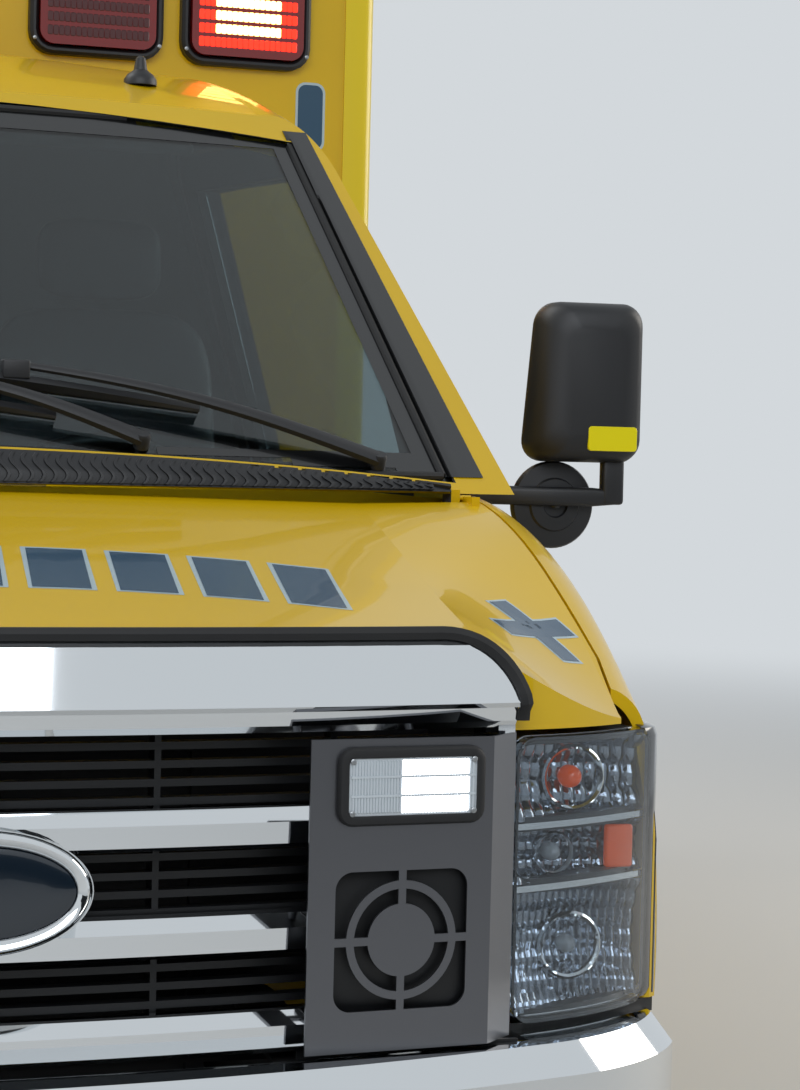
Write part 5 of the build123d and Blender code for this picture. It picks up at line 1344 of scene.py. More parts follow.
@dataclass
class Mirrors:
    """Door mirrors: a faceted head, a bracket arm from the door, and a round mirror behind the arm."""

    at: float = 1190.0
    head: tuple[float, float, float, float] = (1094.0, 1288.0, 1365.0, 1627.0)
    crease: float = 1152.0
    facet: float = 26.0
    arm_z: float = 1308.0
    round_at: tuple[float, float] = (1151.0, 1294.0)
    round_radius: float = 72.0

    def shell(self, mesh: BMesh, side: int) -> None:
        """Adds the head: narrower at its top, with the inner third of its front turned back.

        Args:
            mesh: the mesh to add to.
            side: 1 for left and -1 for right.
        """
        x0, x1, z0, z1 = self.head
        rings = []
        for inset, depth in ((9, 36), (1, 38), (0, 30), (0, -6), (3, -20), (9, -32), (20, -40), (44, -42)):
            ring = []
            for a, b in rounded_rect(x0 + inset, x1 - inset, z0 + inset, z1 - inset, 36 - inset * 0.3, 7):
                taper = 22 * (b - z0) / (z1 - z0) * (x1 - a) / (x1 - x0)
                turned = max(0.0, self.crease - a) / (self.crease - x0) * self.facet if depth < 0 else 0.0
                ring.append(place((a + taper) * side, self.at + depth + turned, b))
            rings.append(ring)
        add_ring_stack(mesh, rings)

    def arm(self, mesh: BMesh, side: int) -> None:
        """Adds the foot on the door, the flattened arm and the bracket under the head.

        Args:
            mesh: the mesh to add to.
            side: 1 for left and -1 for right.
        """
        low, high = span(932, 1004, side)
        add_box(mesh, place(low, self.at + 24, 1278), place(high, self.at + 96, 1337), 0.010)
        line = [(985, 60), (1010, 56), (1060, 34), (1110, 12), (1160, 2), (1210, 0), (1262, 0)]
        rings = []
        for k, (x, depth) in enumerate(line):
            tall = 15.5 if 0 < k < len(line) - 1 else 11.0
            rings.append([place(x * side, self.at + depth + dy, self.arm_z + dz) for dy, dz in rounded_rect(
                -10, 10, -tall, tall, 8, 3)])
        add_ring_stack(mesh, rings)
        low, high = span(1226, 1264, side)
        add_box(mesh, place(low, self.at - 11, 1296), place(high, self.at + 11, 1372), 0.006)

    def disc(self, mesh: BMesh, side: int) -> None:
        """Adds the back of the round mirror, dished with two steps.

        Args:
            mesh: the mesh to add to.
            side: 1 for left and -1 for right.
        """
        x, z = self.round_at
        shape = ((1.0, 33), (1.0, 26), (0.96, 21), (0.62, 17), (0.58, 13), (0.30, 11), (0.27, 15), (0.05, 15))
        add_ring_stack(mesh, [upright_circle(x * side, self.at + depth, z, self.round_radius * share, 48, side)
                              for share, depth in shape])
        tube(mesh, [place(x * side, self.at + 16, z), place(x * side, self.at + 6, self.arm_z)], 0.010, 14)

    def build(self) -> None:
        """Makes both mirrors."""
        for side in SIDES:
            name = side_name(side)
            body = f"{name}_cab_door_body"
            mesh = bmesh.new()
            self.shell(mesh, side)
            piece = new_piece(f"{name}_mirror_head", mesh, BLACK_ABS, body, sharp_degrees=32)
            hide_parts(f"{name}_mirror")
            mesh = bmesh.new()
            self.arm(mesh, side)
            self.disc(mesh, side)
            new_piece(f"{name}_mirror_arm", mesh, BLACK_ABS, body)
            front, back = Face(Look.FRONT, self.at - 42), Face(Look.REAR, self.at + 37)
            mesh = bmesh.new()
            add_plate(mesh, front, (*span(1184, 1270, side), 1384, 1424), -14.0, 1.4, 6, 0.8)
            # The marker's tape carries a faint painted glow, though it is no lamp
            new_piece(f"{name}_mirror_marker", mesh, MARKER_PAINTED_GLOW, body)
            mesh = bmesh.new()
            for z0, z1 in ((1444, 1608), (1382, 1430)):
                add_plate(mesh, back, (*span(1122, 1274, side), z0, z1), -1.0, 1.6, 16, 1.0)
            x, z = self.round_at
            shape = ((0.95, 32), (0.95, 34), (0.6, 36), (0.2, 37))
            add_ring_stack(mesh, [upright_circle(x * side, self.at + depth, z, self.round_radius * share, 48,
                                                 side) for share, depth in shape])
            new_piece(f"{name}_mirror_glass", mesh, MIRROR_GLASS, body)


@dataclass
class BoxLamps:
    """Bezels, lit cells and screws of the lamps on the box."""

    lamp_width: float = 230.0
    front_x: tuple[float, float] = (502.0, 805.0)
    front_z: tuple[float, float] = (2154.0, 2341.0)
    wall_y: tuple[float, ...] = (2470.0, 5830.0, 3560.0, 4900.0)
    wall_z: tuple[float, float] = (2439.0, 2571.0)
    rear_lamps: tuple[tuple[float, ...], ...] = (
        (880.0, 1110.0, 2440.0, 2570.0), (900.0, 1110.0, 900.0, 1000.0), (900.0, 1110.0, 1030.0, 1100.0),
        (250.0, 480.0, 2480.0, 2580.0))

    def build(self) -> None:
        """Makes the bezels on every side and the cells of the front lamps."""
        bezels, screws = bmesh.new(), bmesh.new()
        for x in self.front_x:
            outer = x == max(self.front_x)
            for side in SIDES:
                low, high = span(x, x + self.lamp_width, side)
                add_bezel(bezels, FRONT_WALL, (low - 1, high + 1, *self.front_z), 17, -1, 26, 28, 6)
                self.cells(FRONT_WALL, low, high, outer, f"{side_name(side)}_{'outer' if outer else 'inner'}")
                for a in (low - 9, high + 9):
                    for b in (self.front_z[0] + 11, self.front_z[1] - 11):
                        add_bolt(screws, FRONT_WALL.at(a, b, 26), TO_FRONT, 0.004, 0.002, 14)
        for side in SIDES:
            for y in self.wall_y:
                add_bezel(bezels, side_wall(side), (y - 1, y + self.lamp_width + 1, *self.wall_z),
                          13, -1, 22, 24, 5)
        for x0, x1, z0, z1 in self.rear_lamps:
            for side in SIDES:
                low, high = span(x0, x1, side)
                add_bezel(bezels, REAR_WALL, (low - 1, high + 1, z0 - 1, z1 + 1), 11, -1, 22, 24, 5)
        new_piece("lamp_bezels", bezels, BLACK_ABS)
        new_piece("lamp_screws", screws, MILL_ALUMINIUM)

    def cells(self, face: Face, low: float, high: float, lit: bool, name: str) -> None:
        """Rows of cells behind a lens, shown at its surface.

        Args:
            face: the wall.
            low: the lens's low side.
            high: the lens's high side.
            lit: whether the lamp is on.
            name: the lamp's place.
        """
        cell_mesh, core = bmesh.new(), bmesh.new()
        rows, columns = 6, 18
        for i in range(columns):
            for j in range(rows):
                a = low + 14 + (high - low - 28) * (i + 0.5) / columns
                b = 2168 + (2327 - 2168) * (j + 0.5) / rows
                centre = lit and 0.16 < (i + 0.5) / columns < 0.84 and 0 < j < rows
                target = core if centre else cell_mesh
                add_plate(target, face, (a - 5.3, a + 5.3, b - 9.5, b + 9.5), 33.2, 35.2, 3, 0.8)
        new_piece(f"{name}_lamp_cells", cell_mesh, RED_LIT if lit else RED_DARK)
        if lit:
            new_piece(f"{name}_lamp_core", core, CORE_LIT)
        else:
            core.free()


@dataclass
class Wheels:
    """Detailed tyres, nuts and hub caps."""

    half_width: float = 111.5
    pitch: int = 56
    nut_circle: float = 0.0825
    cap_radius: float = 0.056
    ends: tuple[tuple[str, ...], ...] = (("front", "tyre", "rim", "wheel"), ("rear", "tyres", "rims", "wheels"))

    def profile(self) -> list[tuple[float, float, bool]]:
        """The tyre's section from bead to bead: offset, radius, and whether a cross groove cuts it."""
        half = [(72.0, 206.0, False), (77.0, 214.0, False), (92.0, 226.0, False), (103.0, 246.0, False),
                (106.5, 250.0, False), (107.5, 253.0, False), (111.0, 275.0, False), (111.4, 296.0, False),
                (109.5, 318.0, False), (109.8, 321.0, False), (108.0, 336.0, False), (106.0, 350.0, True),
                (101.0, 362.0, True), (95.0, 368.5, True), (62.0, 371.0, True), (60.0, 361.5, False),
                (53.0, 361.5, False), (51.0, 371.6, True), (22.0, 372.0, True), (20.0, 362.0, False),
                (13.0, 362.0, False), (11.0, 372.0, True)]
        return half + [(-a, r, cut) for a, r, cut in reversed(half)]

    def tyre(self, mesh: BMesh, x: float, y: float, z: float) -> None:
        """Adds one tyre with its tread.

        Args:
            mesh: the mesh to add to.
            x: its middle, in metres.
            y: its axle, in metres.
            z: its axle's height, in metres.
        """
        steps = self.pitch * 4
        profile = self.profile()
        rings = []
        for k in range(steps):
            angle = 2 * pi * k / steps
            ring = []
            for offset, radius, cut in profile:
                groove = k % 4 == 0 and cut and abs(offset) > 10
                depth = (9.0 if abs(offset) > 58 else 5.0) if groove else 0.0
                r = (radius - depth) * MM
                ring.append(Vector((x + offset * MM, y + r * cos(angle), z + r * sin(angle))))
            rings.append(ring)
        add_ring_stack(mesh, rings, looped=True)

    def nuts(self, mesh: BMesh, cap: BMesh, rim: str, side: int, y: float,
             z: float) -> None:
        """Adds the wheel nuts and the hub cap of one wheel, laid on its rim from outside.

        Args:
            mesh: the mesh for the nuts.
            cap: the mesh for the hub cap.
            rim: the rim's node.
            side: 1 for left and -1 for right.
            y: the axle, in metres.
            z: the axle's height, in metres.
        """
        skin = Surface(rim)
        way = Vector((-side, 0, 0))
        reach = self.nut_circle
        for k in range(8):
            angle = 2 * pi * (k + 0.5) / 8
            start = Vector((1.5 * side, y + reach * cos(angle), z + reach * sin(angle)))
            hit = skin.drop(start, way)
            if hit is not None:
                add_bolt(mesh, hit[0], -way, 0.0125, 0.022, 6)
        hit = skin.drop(Vector((1.5 * side, y + 0.05, z)), way)
        base = hit[0].x if hit is not None else side * 0.98
        rings = []
        for share, rise in ((1.0, -0.004), (1.0, 0.030), (0.94, 0.040), (0.6, 0.046), (0.25, 0.048)):
            radius = self.cap_radius * share
            rings.append([Vector((base + side * rise, y + radius * c, z + radius * s)) for c, s in circle(40)])
        add_ring_stack(cap, rings)

    def build(self) -> None:
        """Replaces the plain tyres and adds the nuts: one tyre a side in front, two at the rear."""
        for side in SIDES:
            for end, tyre, rim, wheel in self.ends:
                name = f"{side_name(side)}_{end}"
                body = f"{name}_{wheel}"
                low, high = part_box(f"{name}_{tyre}")
                y, z = (low.y + high.y) / 2, (low.z + high.z) / 2
                inset = self.half_width * MM
                middles = [(low.x + high.x) / 2] if end == "front" else [low.x + inset, high.x - inset]
                mesh = bmesh.new()
                for x in middles:
                    self.tyre(mesh, x, y, z)
                piece = new_piece(f"{name}_tread_{tyre}", mesh, TYRE, body, sharp_degrees=30)
                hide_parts(f"{name}_{tyre}")
                nuts, cap = bmesh.new(), bmesh.new()
                self.nuts(nuts, cap, f"{name}_{rim}", side, y, z)
                new_piece(f"{name}_wheel_nuts", nuts, CHROME, body)
                new_piece(f"{name}_hub_cap", cap, CHROME, body)


@dataclass
class DoorTrim:
    """Handles, latches, seals and mouldings of the doors."""

    window: list[tuple[float, float]] = field(default_factory=lambda: [
        (1290, 1352), (1290, 1500), (1531, 1838), (2097, 1862), (2111, 1352)])
    handle_at: tuple[float, float] = (1985.0, 1148.0)
    moulding_y: tuple[float, float] = (1206.0, 2160.0)
    moulding_z: float = 842.0
    grab_x: float = 620.0

    def latch(self, name: str, body: str, face: Face, a: float, b: float) -> None:
        """Makes a paddle latch: a dished plate, a paddle and a lock.

        Args:
            name: the piece's name.
            body: the door's body.
            face: the door's face.
            a: the latch's middle.
            b: its height.
        """
        mesh = bmesh.new()
        add_bezel(mesh, face, (a - 44, a + 44, b - 52, b + 52), 14, -0.5, 3.2, 8, 1.2)
        add_plate(mesh, face, (a - 45, a + 45, b - 53, b + 53), -0.5, 0.6, 8, 0.4)
        add_plate(mesh, face, (a - 36, a + 36, b - 40, b + 14), 0.4, 7.5, 10, 2.5)
        add_plate(mesh, face, (a - 11, a + 11, b + 24, b + 46), 0.4, 4.0, 10.9, 1.2)
        new_piece(name, mesh, CHROME, body)

    def cab_doors(self) -> None:
        """Handles, window seals and side mouldings of the cab doors."""
        for side in SIDES:
            name = side_name(side)
            body = f"{name}_cab_door_body"
            skin = Surface(f"{name}_cab_door")
            way = Vector((-side, 0, 0))

            def on_door(y: float, z: float, out: float) -> Vector | None:
                """A point off the door's outer skin."""
                hit = skin.drop(place(1400 * side, y, z), way)
                return None if hit is None else hit[0] + hit[1] * out * MM

            seal = bmesh.new()
            centre_y = sum(p[0] for p in self.window) / len(self.window)
            centre_z = sum(p[1] for p in self.window) / len(self.window)
            loop = []
            corners = self.window + self.window[:1]
            for (ya, za), (yb, zb) in zip(corners, corners[1:]):
                for k in range(12):
                    t = k / 12
                    y, z = ya + (yb - ya) * t, za + (zb - za) * t
                    away = Vector((y - centre_y, z - centre_z)).normalized() * 9
                    loop.append(on_door(y + away.x, z + away.y, 0.5))
            loop = [p for p in loop if p is not None]
            tube(seal, loop + loop[:2], 0.0065, 8)
            new_piece(f"{name}_door_seal", seal, RUBBER, body)
            handle = bmesh.new()
            y0, z0 = self.handle_at
            points = [on_door(y0 + 16 * k, z0, 14 + 16 * sin(pi * k / 9)) for k in range(10)]
            section = ((-0.013, -0.012), (-0.013, 0.0), (-0.008, 0.006), (0.008, 0.006), (0.013, 0.0),
                       (0.013, -0.012))
            add_ring_stack(handle, [[p + Vector((side * b, 0, a)) for a, b in section]
                                    for p in points if p is not None])
            new_piece(f"{name}_door_handle", handle, BLACK_ABS, body)
            strip = bmesh.new()
            rings = []
            y0, y1 = self.moulding_y
            for k in range(40):
                y = y0 + (y1 - y0) * k / 39
                ring = [on_door(y, self.moulding_z + dz, out)
                        for dz, out in ((-22, 0.2), (-19, 7), (0, 10), (19, 7), (22, 0.2))]
                if all(p is not None for p in ring):
                    rings.append(ring)
            if len(rings) > 3:
                add_ring_stack(strip, rings)
            new_piece(f"{name}_door_moulding", strip, RUBBER, body)

    def box_doors(self) -> None:
        """Latches and window seals of the box's doors and lockers."""
        left, right = side_wall(1), side_wall(-1)
        for door, face, a, b in (("left_front_locker", left, 2930, 1240), ("left_rear_locker", left, 5990, 1050),
                                 ("right_rear_locker", right, 5990, 1240), ("side_door", right, 3160, 1240),
                                 ("left_rear_door", REAR_WALL, 74, 1300),
                                 ("right_rear_door", REAR_WALL, -74, 1300)):
            self.latch(f"{door}_latch", f"{door}_body", face, a, b)
        for name, body, face, rect in (
                ("side_door_window_seal", "side_door_body", right, (2640, 3080, 1640, 2200)),
                ("left_rear_window_seal", "left_rear_door_body", REAR_WALL, (170, 540, 1620, 2180)),
                ("right_rear_window_seal", "right_rear_door_body", REAR_WALL, (-540, -170, 1620, 2180))):
            mesh = bmesh.new()
            add_bezel(mesh, face, rect, 16, -4, 4.5, 48, 3)
            new_piece(name, mesh, RUBBER, body)
        for side in SIDES:
            name = f"{side_name(side)}_rear"
            x = self.grab_x * side
            line = [(1250, 0), (1252, 9), (1262, 12)]
            line += [(1262 + 40 * k, 12) for k in range(1, 10)]
            line += [(1632, 9), (1634, 0)]
            mesh = bmesh.new()
            tube(mesh, [REAR_WALL.at(x, z, out) for z, out in line], 0.0085, 14)
            new_piece(f"{name}_grab_rail", mesh, CHROME, f"{name}_door_body")

    def build(self) -> None:
        """Makes the trim of every door."""
        self.cab_doors()
        self.box_doors()


@dataclass
class BoxTrim:
    """Rub rails, drip rails, stone guards, tread on the rear step and a blank plate."""

    foot_rails: tuple[tuple[float, float], ...] = ((2380.0, 4330.0), (5345.0, 6150.0))
    guard: tuple[float, float, float, float] = (700.0, 1150.0, BOX_FOOT, 930.0)
    plate: tuple[float, float, float, float] = (-1095.0, -790.0, 600.0, 752.0)
    flap: tuple[float, float, float, float] = (3190.0, 3330.0, 980.0, 1120.0)
    antenna_at: tuple[float, float] = (533.0, 1600.0)

    def rails(self) -> None:
        """Aluminium rails along the foot and the top of the walls."""
        mesh = bmesh.new()
        for side in SIDES:
            wall = side_wall(side)
            for a0, a1 in self.foot_rails:
                add_plate(mesh, wall, (a0, a1, 463, 490), -0.5, 11, 4, 3)
            add_plate(mesh, wall, (2345, 6183, *RAIL_Z), -0.5, 9, 2, 2)
            add_plate(mesh, wall, (2420, 6120, 2582, 2588), -0.5, 3, 2, 1)
        for wall in (FRONT_WALL, REAR_WALL):
            add_plate(mesh, wall, (-1150, 1150, *RAIL_Z), -0.5, 9, 2, 2)
        new_piece("box_rails", mesh, MILL_ALUMINIUM)

    def corner_posts(self) -> None:
        """Rounded aluminium posts at the box's four upright corners, in a lighter copy of the box's yellow that
        paints their highlight.
        """
        mesh = bmesh.new()
        for side in SIDES:
            for level, out in ((BOX_FRONT, -1), (BOX_REAR, 1)):
                rings = []
                for z in (468, 472, 2590, 2594):
                    grow = 0.0 if z in (468, 2594) else 3.0
                    outline = [(1132, 0.0), (1132, grow), (1150, grow + 0.4), (1172, grow)]
                    outline += [(1172 + (22 + grow) * sin(a), grow - (22 + grow) * (1 - cos(a)))
                                for a in (radians(18 * i) for i in range(1, 6))]
                    outline += [(BOX_HALF + grow, -60), (BOX_HALF, -60), (BOX_HALF, -24), (1170, -1)]
                    rings.append([place(x * side, level + out * y, z) for x, y in outline])
                add_ring_stack(mesh, rings)
        # The posts' lighter yellow is a painted highlight
        new_piece("corner_posts", mesh, POST_YELLOW_PAINTED_HIGHLIGHT)

    def guards(self) -> None:
        """Patterned stone guards on the lower front of the box."""
        mesh = bmesh.new()
        across, up = place(1, 0, 0) - place(0, 0, 0), place(0, 0, 1) - place(0, 0, 0)
        x0, x1, z0, z1 = self.guard
        for side in SIDES:
            low, high = span(x0, x1, side)
            add_plate(mesh, FRONT_WALL, (low, high, z0, z1), -0.5, 2.2, 4, 0.8)
            for i in range(18):
                for j in range(19):
                    a = low + 14 + 25 * i + (12.5 if j % 2 else 0)
                    b = z0 + 14 + 24 * j
                    if a > high - 10 or b > z1 - 8:
                        continue
                    add_lug(mesh, FRONT_WALL.at(a, b, 2.2), across, up, 45 if j % 2 else -45)
        new_piece("stone_guards", mesh, MILL_ALUMINIUM)

    def step_tread(self) -> None:
        """Raised lugs on the rear step and the cab's running boards."""
        mesh = bmesh.new()
        across, back = place(1, 0, 0) - place(0, 0, 0), place(0, 1, 0) - place(0, 0, 0)
        spots = [(place(-1112 + 25 * i, 6222 + 25 * j, 500), i + j) for i in range(90) for j in range(8)]
        for side in SIDES:
            spots += [(place((928 + 30 * i) * side, 1322 + 25 * j, 430), i + j)
                      for i in range(5) for j in range(37)]
        for spot, count in spots:
            add_lug(mesh, spot, across, back, 45 if count % 2 else -45)
        new_piece("step_tread", mesh, MILL_ALUMINIUM)

    def plate_and_fillers(self) -> None:
        """A blank plate at the rear, the fuel filler's flap and the antenna base."""
        mesh = bmesh.new()
        add_plate(mesh, REAR_WALL, self.plate, -0.5, 3, 12, 1)
        new_piece("rear_blank_plate", mesh, MILL_ALUMINIUM)
        mesh = bmesh.new()
        a0, a1, b0, b1 = self.flap
        add_bezel(mesh, side_wall(1), self.flap, 12, -0.5, 5, 20, 2)
        add_plate(mesh, side_wall(1), (a0 + 2, a1 - 2, b0 + 2, b1 - 2), -0.5, 3, 18, 1)
        new_piece("fuel_flap", mesh, MILL_ALUMINIUM)
        mesh = bmesh.new()
        hit = Surface("cab_shell").drop(place(*self.antenna_at, 2400), FROM_ABOVE)
        if hit is not None:
            shape = ((1.0, -2), (1.0, 8), (0.8, 16), (0.42, 24), (0.3, 44), (0.12, 48))
            add_ring_stack(mesh, [[hit[0] + Vector((0.028 * share * c, 0.028 * share * s, rise * MM))
                                   for c, s in circle(28)] for share, rise in shape])
        new_piece("antenna_base", mesh, BLACK_ABS)

    def build(self) -> None:
        """Makes the box's trim."""
        self.rails()
        self.corner_posts()
        self.guards()
        self.step_tread()
        self.plate_and_fillers()


@dataclass
class Seats:
    """Padded cab seats and the patient room's bench.

    Each pad of a cab seat has its name, its distance and height, its half sizes in metres, its turn, how square
    it is and how many channels it has.
    """

    seat_x: float = 575.0
    pads: tuple[tuple, ...] = (
        ("seat_cushion", (1748, 1000), (0.226, 0.245, 0.066), 4, 5, 4),
        ("seat_back", (2012, 1330), (0.212, 0.300, 0.052), 80, 5, 4),
        ("head_rest", (2078, 1722), (0.118, 0.076, 0.036), 84, 4, 0))

    def cab_seats(self) -> None:
        """Makes the base and the pads of both cab seats."""
        first = None
        for side in SIDES:
            x = self.seat_x * side
            name = side_name(side)
            base = bmesh.new()
            add_box(base, place(x - 175, 1550, 722), place(x + 175, 1940, 930), 0.012)
            new_piece(f"{name}_seat_base", base, DASH)
            for part, spot, half, turn, power, channels in self.pads:
                matrix = Matrix.Translation(place(x, *spot)) @ Matrix.Rotation(radians(turn), 4, "X")
                pad = bmesh.new()
                add_pad(pad, matrix, Vector(half), power, channels)
                piece = new_piece(f"{name}_{part}", pad, VINYL)
                first = first or piece
        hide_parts("seats")

    def bench(self) -> None:
        """Makes the three seat pads and the three back pads of the bench."""
        low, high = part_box("bench_cushions")
        third = (high.y - low.y) / 3
        quarter = radians(90)
        upright = Matrix.Rotation(quarter, 4, "Z") @ Matrix.Rotation(quarter, 4, "X")
        seat, rest = bmesh.new(), bmesh.new()
        for k in range(3):
            middle = low.y + third * (k + 0.5)
            centre = Vector(((low.x + high.x) / 2 + 0.04, middle, low.z + 0.042))
            half = Vector(((high.x - low.x) / 2 - 0.046, third / 2 - 0.004, 0.040))
            add_pad(seat, Matrix.Translation(centre), half, 6, 3, 0.004)
            back = Matrix.Translation(Vector((low.x + 0.044, middle, low.z + 0.295)))
            add_pad(rest, back @ upright, Vector((third / 2 - 0.004, 0.20, 0.038)), 6, 4, 0.004)
        bench = new_piece("bench_seat_pads", seat, VINYL)
        piece = new_piece("bench_back_pads", rest, VINYL)
        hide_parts("bench_cushions")

    def build(self) -> None:
        """Replaces the plain seat and bench solids."""
        self.cab_seats()
        self.bench()


@dataclass
class Studio:
    """Floor, lights and the camera at the photograph's place."""

    camera_place: tuple[float, float, float] = (-0.575, -6.199, 1.352)
    yaw: float = 19.18
    pitch: float = -1.65
    roll: float = 1.37
    focal_pixels: float = 2749.0
    frame_height: int = 1090
    sky_strength: float = 0.62
    backdrop_colour: str = "D3D8DC"
    sky_colour: str = "A9B0B6"
    fade: tuple[float, float] = (4.5, 16.0)

    def camera(self) -> None:
        """Places the camera, with the long side of its sensor upright."""
        data = bpy.data.cameras.new("photo_camera")
        data.sensor_fit = "VERTICAL"
        data.sensor_height = 36.0
        data.lens = self.focal_pixels * 36.0 / self.frame_height
        data.clip_start = 0.05
        data.clip_end = 200.0
        yaw, pitch, roll = (radians(v) for v in (self.yaw, self.pitch, self.roll))
        ahead = Vector((sin(yaw) * cos(pitch), cos(yaw) * cos(pitch), sin(pitch)))
        right = Vector((cos(yaw), -sin(yaw), 0))
        up = right.cross(ahead)
        right_turned = right * cos(roll) + up * sin(roll)
        up_turned = up * cos(roll) - right * sin(roll)
        matrix = Matrix((right_turned, up_turned, -ahead)).transposed().to_4x4()
        matrix.translation = Vector(self.camera_place)
        camera = bpy.data.objects.new("photo_camera", data)
        camera.matrix_world = matrix
        bpy.context.scene.collection.objects.link(camera)
        bpy.context.scene.camera = camera

    def floor(self) -> None:
        """Makes the plain pale floor."""
        mesh = bmesh.new()
        bmesh.ops.create_grid(mesh, x_segments=2, y_segments=2, size=40)
        material = SHOP.get(FLOOR_PAINT)
        tree = material.node_tree
        shader = tree.nodes["Principled BSDF"]
        where = add_node(tree, "ShaderNodeTexCoord").outputs["Object"]
        reach = add_node(tree, "ShaderNodeVectorMath", {"operation": "LENGTH"}, {0: where})
        fade = add_node(tree, "ShaderNodeMapRange", {"interpolation_type": "SMOOTHSTEP"},
                        {"Value": reach.outputs["Value"]}, From_Min=self.fade[0], From_Max=self.fade[1],
                        To_Min=0.0, To_Max=1.0)
        amount = add_node(tree, "ShaderNodeMath", {"operation": "MULTIPLY"},
                          {0: fade.outputs["Result"], 1: self.seen(tree)})
        pale = add_node(tree, "ShaderNodeEmission", Color=linear(self.backdrop_colour), Strength=1.0)
        mix = add_node(tree, "ShaderNodeMixShader", links={
            0: amount.outputs[0], 1: shader.outputs[0], 2: pale.outputs[0]})
        tree.links.new(mix.outputs[0], tree.nodes["Material Output"].inputs["Surface"])
        floor = make_object("studio_floor", mesh, material)

    def seen(self, tree: bpy.types.NodeTree) -> bpy.types.NodeSocket:
        """One for rays from the camera, from metal or through glass, and nought for the rest.

        Args:
            tree: the node tree that asks.

        Returns:
            The output socket.
        """
        path = add_node(tree, "ShaderNodeLightPath").outputs
        either = add_node(tree, "ShaderNodeMath", {"operation": "MAXIMUM"},
                          {0: path["Is Camera Ray"], 1: path["Is Glossy Ray"]})
        return add_node(tree, "ShaderNodeMath", {"operation": "MAXIMUM"},
                        {0: either.outputs[0], 1: path["Is Transmission Ray"]}).outputs[0]

    def world(self) -> None:
        """Sets a soft grey light, with a plain pale background for the camera, for metal and for glass."""
        world = bpy.data.worlds.new("studio")
        bpy.context.scene.world = world
        world.use_nodes = True
        tree = world.node_tree
        light = tree.nodes["Background"]
        light.inputs["Color"].default_value = linear(self.sky_colour)
        light.inputs["Strength"].default_value = self.sky_strength
        backdrop = add_node(tree, "ShaderNodeBackground", Color=linear(self.backdrop_colour), Strength=1.0)
        mix = add_node(tree, "ShaderNodeMixShader", links={
            0: self.seen(tree), 1: light.outputs[0], 2: backdrop.outputs[0]})
        tree.links.new(mix.outputs[0], tree.nodes["World Output"].inputs["Surface"])

    def flag(self) -> None:
        """A dark card in front, seen only in reflections, which gives the chrome its dark lower half."""
        mesh = bmesh.new()
        add_grid(mesh, [[Vector((x, -11.0, z)) for x in (-9.0, 9.0)] for z in (0.02, 2.9)])
        card = make_object("studio_flag", mesh, SHOP.get(BLACK_FELT))
        for ray in ("camera", "diffuse", "transmission", "shadow"):
            setattr(card, f"visible_{ray}", False)

    def lamp(self, name: str, spot: tuple[float, float, float], target: tuple[float, float, float],
             size: tuple[float, float], power: float, tint: str = "FFFFFF") -> None:
        """Adds a soft box.

        Args:
            name: its name.
            spot: where it hangs.
            target: what it faces.
            size: its width and height in metres.
            power: its power in watts.
            tint: its colour.
        """
        data = bpy.data.lights.new(name, "AREA")
        data.shape = "RECTANGLE"
        data.size, data.size_y = size
        data.energy = power
        data.color = linear(tint)[:3]
        lamp = bpy.data.objects.new(name, data)
        lamp.location = spot
        lamp.rotation_euler = (Vector(target) - Vector(spot)).to_track_quat("-Z", "Y").to_euler()
        bpy.context.scene.collection.objects.link(lamp)

    def build(self) -> None:
        """Sets the whole studio up."""
        self.camera()
        self.floor()
        self.world()
        self.flag()
        self.lamp("soft_box_front", (-1.4, -8.6, 5.2), (0.0, -3.0, 1.1), (7.0, 3.2), 260, "F3F8FF")
        self.lamp("soft_box_top", (-4.6, 2.0, 7.0), (0.0, 0.0, 1.2), (4.5, 6.0), 330, "FFFFFF")
        self.lamp("soft_box_left", (7.5, -1.0, 4.2), (0.5, 0.5, 1.2), (5.0, 3.0), 200, "FFF8EE")
        self.lamp("soft_box_rear", (0.5, 10.0, 4.5), (0.0, 2.5, 1.2), (5.0, 3.0), 220, "FFFFFF")


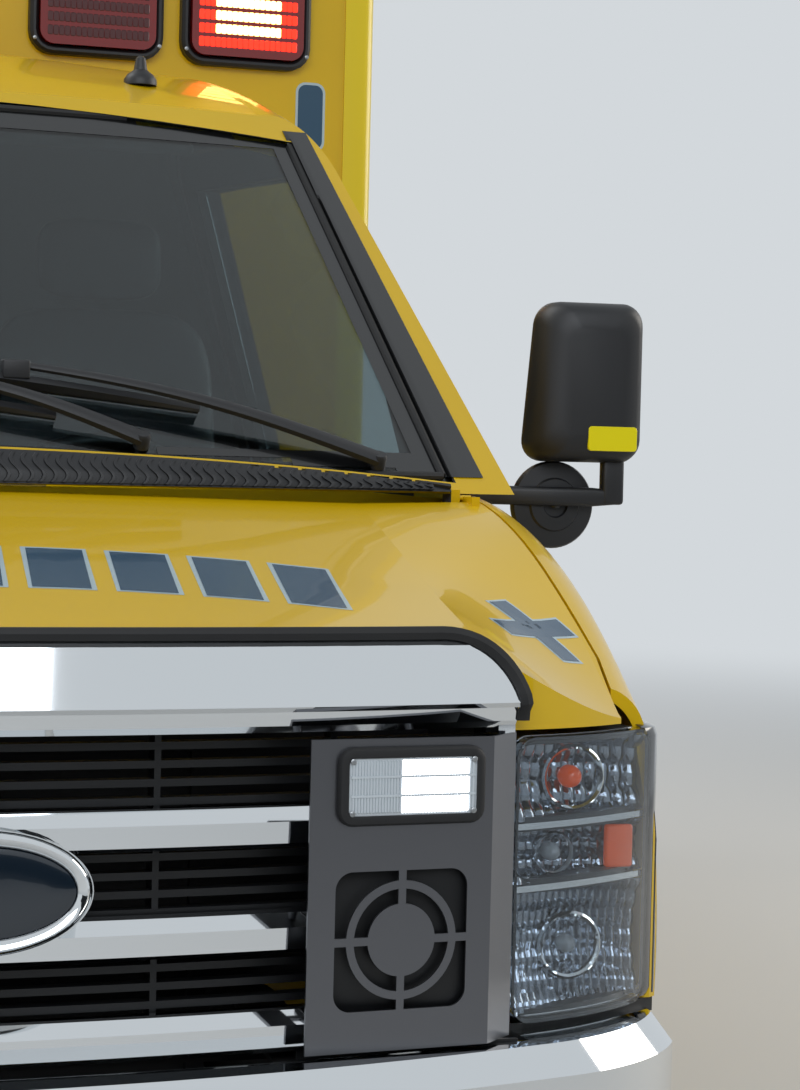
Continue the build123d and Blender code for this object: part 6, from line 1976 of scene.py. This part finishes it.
def dress_frame() -> None:
    """Gives every CAD node its finish."""
    by_finish = {
        YELLOW: ["cab_shell", "hood", "fenders", "left_cab_door", "right_cab_door",
                 "left_front_locker_door", "left_rear_locker_door", "right_rear_locker_door", "side_door",
                 "box_left_wall", "box_right_wall", "box_front_wall", "box_rear_frame", "left_rear_door",
                 "right_rear_door", "box_roof"],
        GLASS: ["windshield", "left_door_glass", "right_door_glass", "side_door_glass", "left_rear_glass",
                "right_rear_glass"],
        BLACK_ABS: ["cowl_grille", "left_mirror", "right_mirror", "radiator_support", "steering_wheel"],
        MESH_BLACK: ["grille_mesh"],
        CHROME: ["front_bumper", "grille_surround"],
        LAMP_BODY: ["headlight_housings"],
        STAINLESS: ["light_panels", "exhaust"],
        LAMP_CLEAR: ["headlights"],
        CHASSIS_BLACK: ["frame", "front_axle", "rear_axle", "drive_shaft", "fuel_tank"],
        IRON: ["engine", "left_knuckle", "right_knuckle"],
        WHEEL: ["left_front_rim", "right_front_rim", "left_rear_rims", "right_rear_rims"],
        TYRE: ["left_front_tyre", "right_front_tyre", "left_rear_tyres", "right_rear_tyres"],
        MILL_ALUMINIUM: ["box_floor", "steps"],
        LAMINATE: ["left_cabinets", "right_cabinets"],
        RED_LENS: ["red_lights"],
        CLEAR_LENS: ["clear_lights"],
        RUBBER: ["rubber_parts"],
        DASH: ["dashboard"],
        VINYL: ["seats", "bench_cushions"],
    }
    for finish, names in by_finish.items():
        for name in names:
            dress_node(name, finish)
    cab_middle, room_middle = place(0, 1750, 1350), place(0, 4300, 1650)
    line_node("cab_shell", HEADLINER, cab_middle)
    for name in ("left_cab_door", "right_cab_door"):
        line_node(name, DASH, cab_middle)
    for name in ("box_left_wall", "box_right_wall", "box_front_wall", "box_rear_frame", "box_roof", "side_door",
                 "left_rear_door", "right_rear_door"):
        line_node(name, ROOM_WHITE, room_middle)


def main() -> None:
    """Builds every piece in order."""
    logging.basicConfig(level=logging.INFO, format="%(name)s: %(message)s")
    bpy.context.scene.view_settings.view_transform = "Standard"
    dress_frame()
    for part in (Decals(), Grille(), Headlamps(), Windshield(), Mirrors(), BoxLamps(), Wheels(), DoorTrim(),
                 BoxTrim(), Seats(), Studio()):
        part.build()


if __name__ == "__main__":
    main()
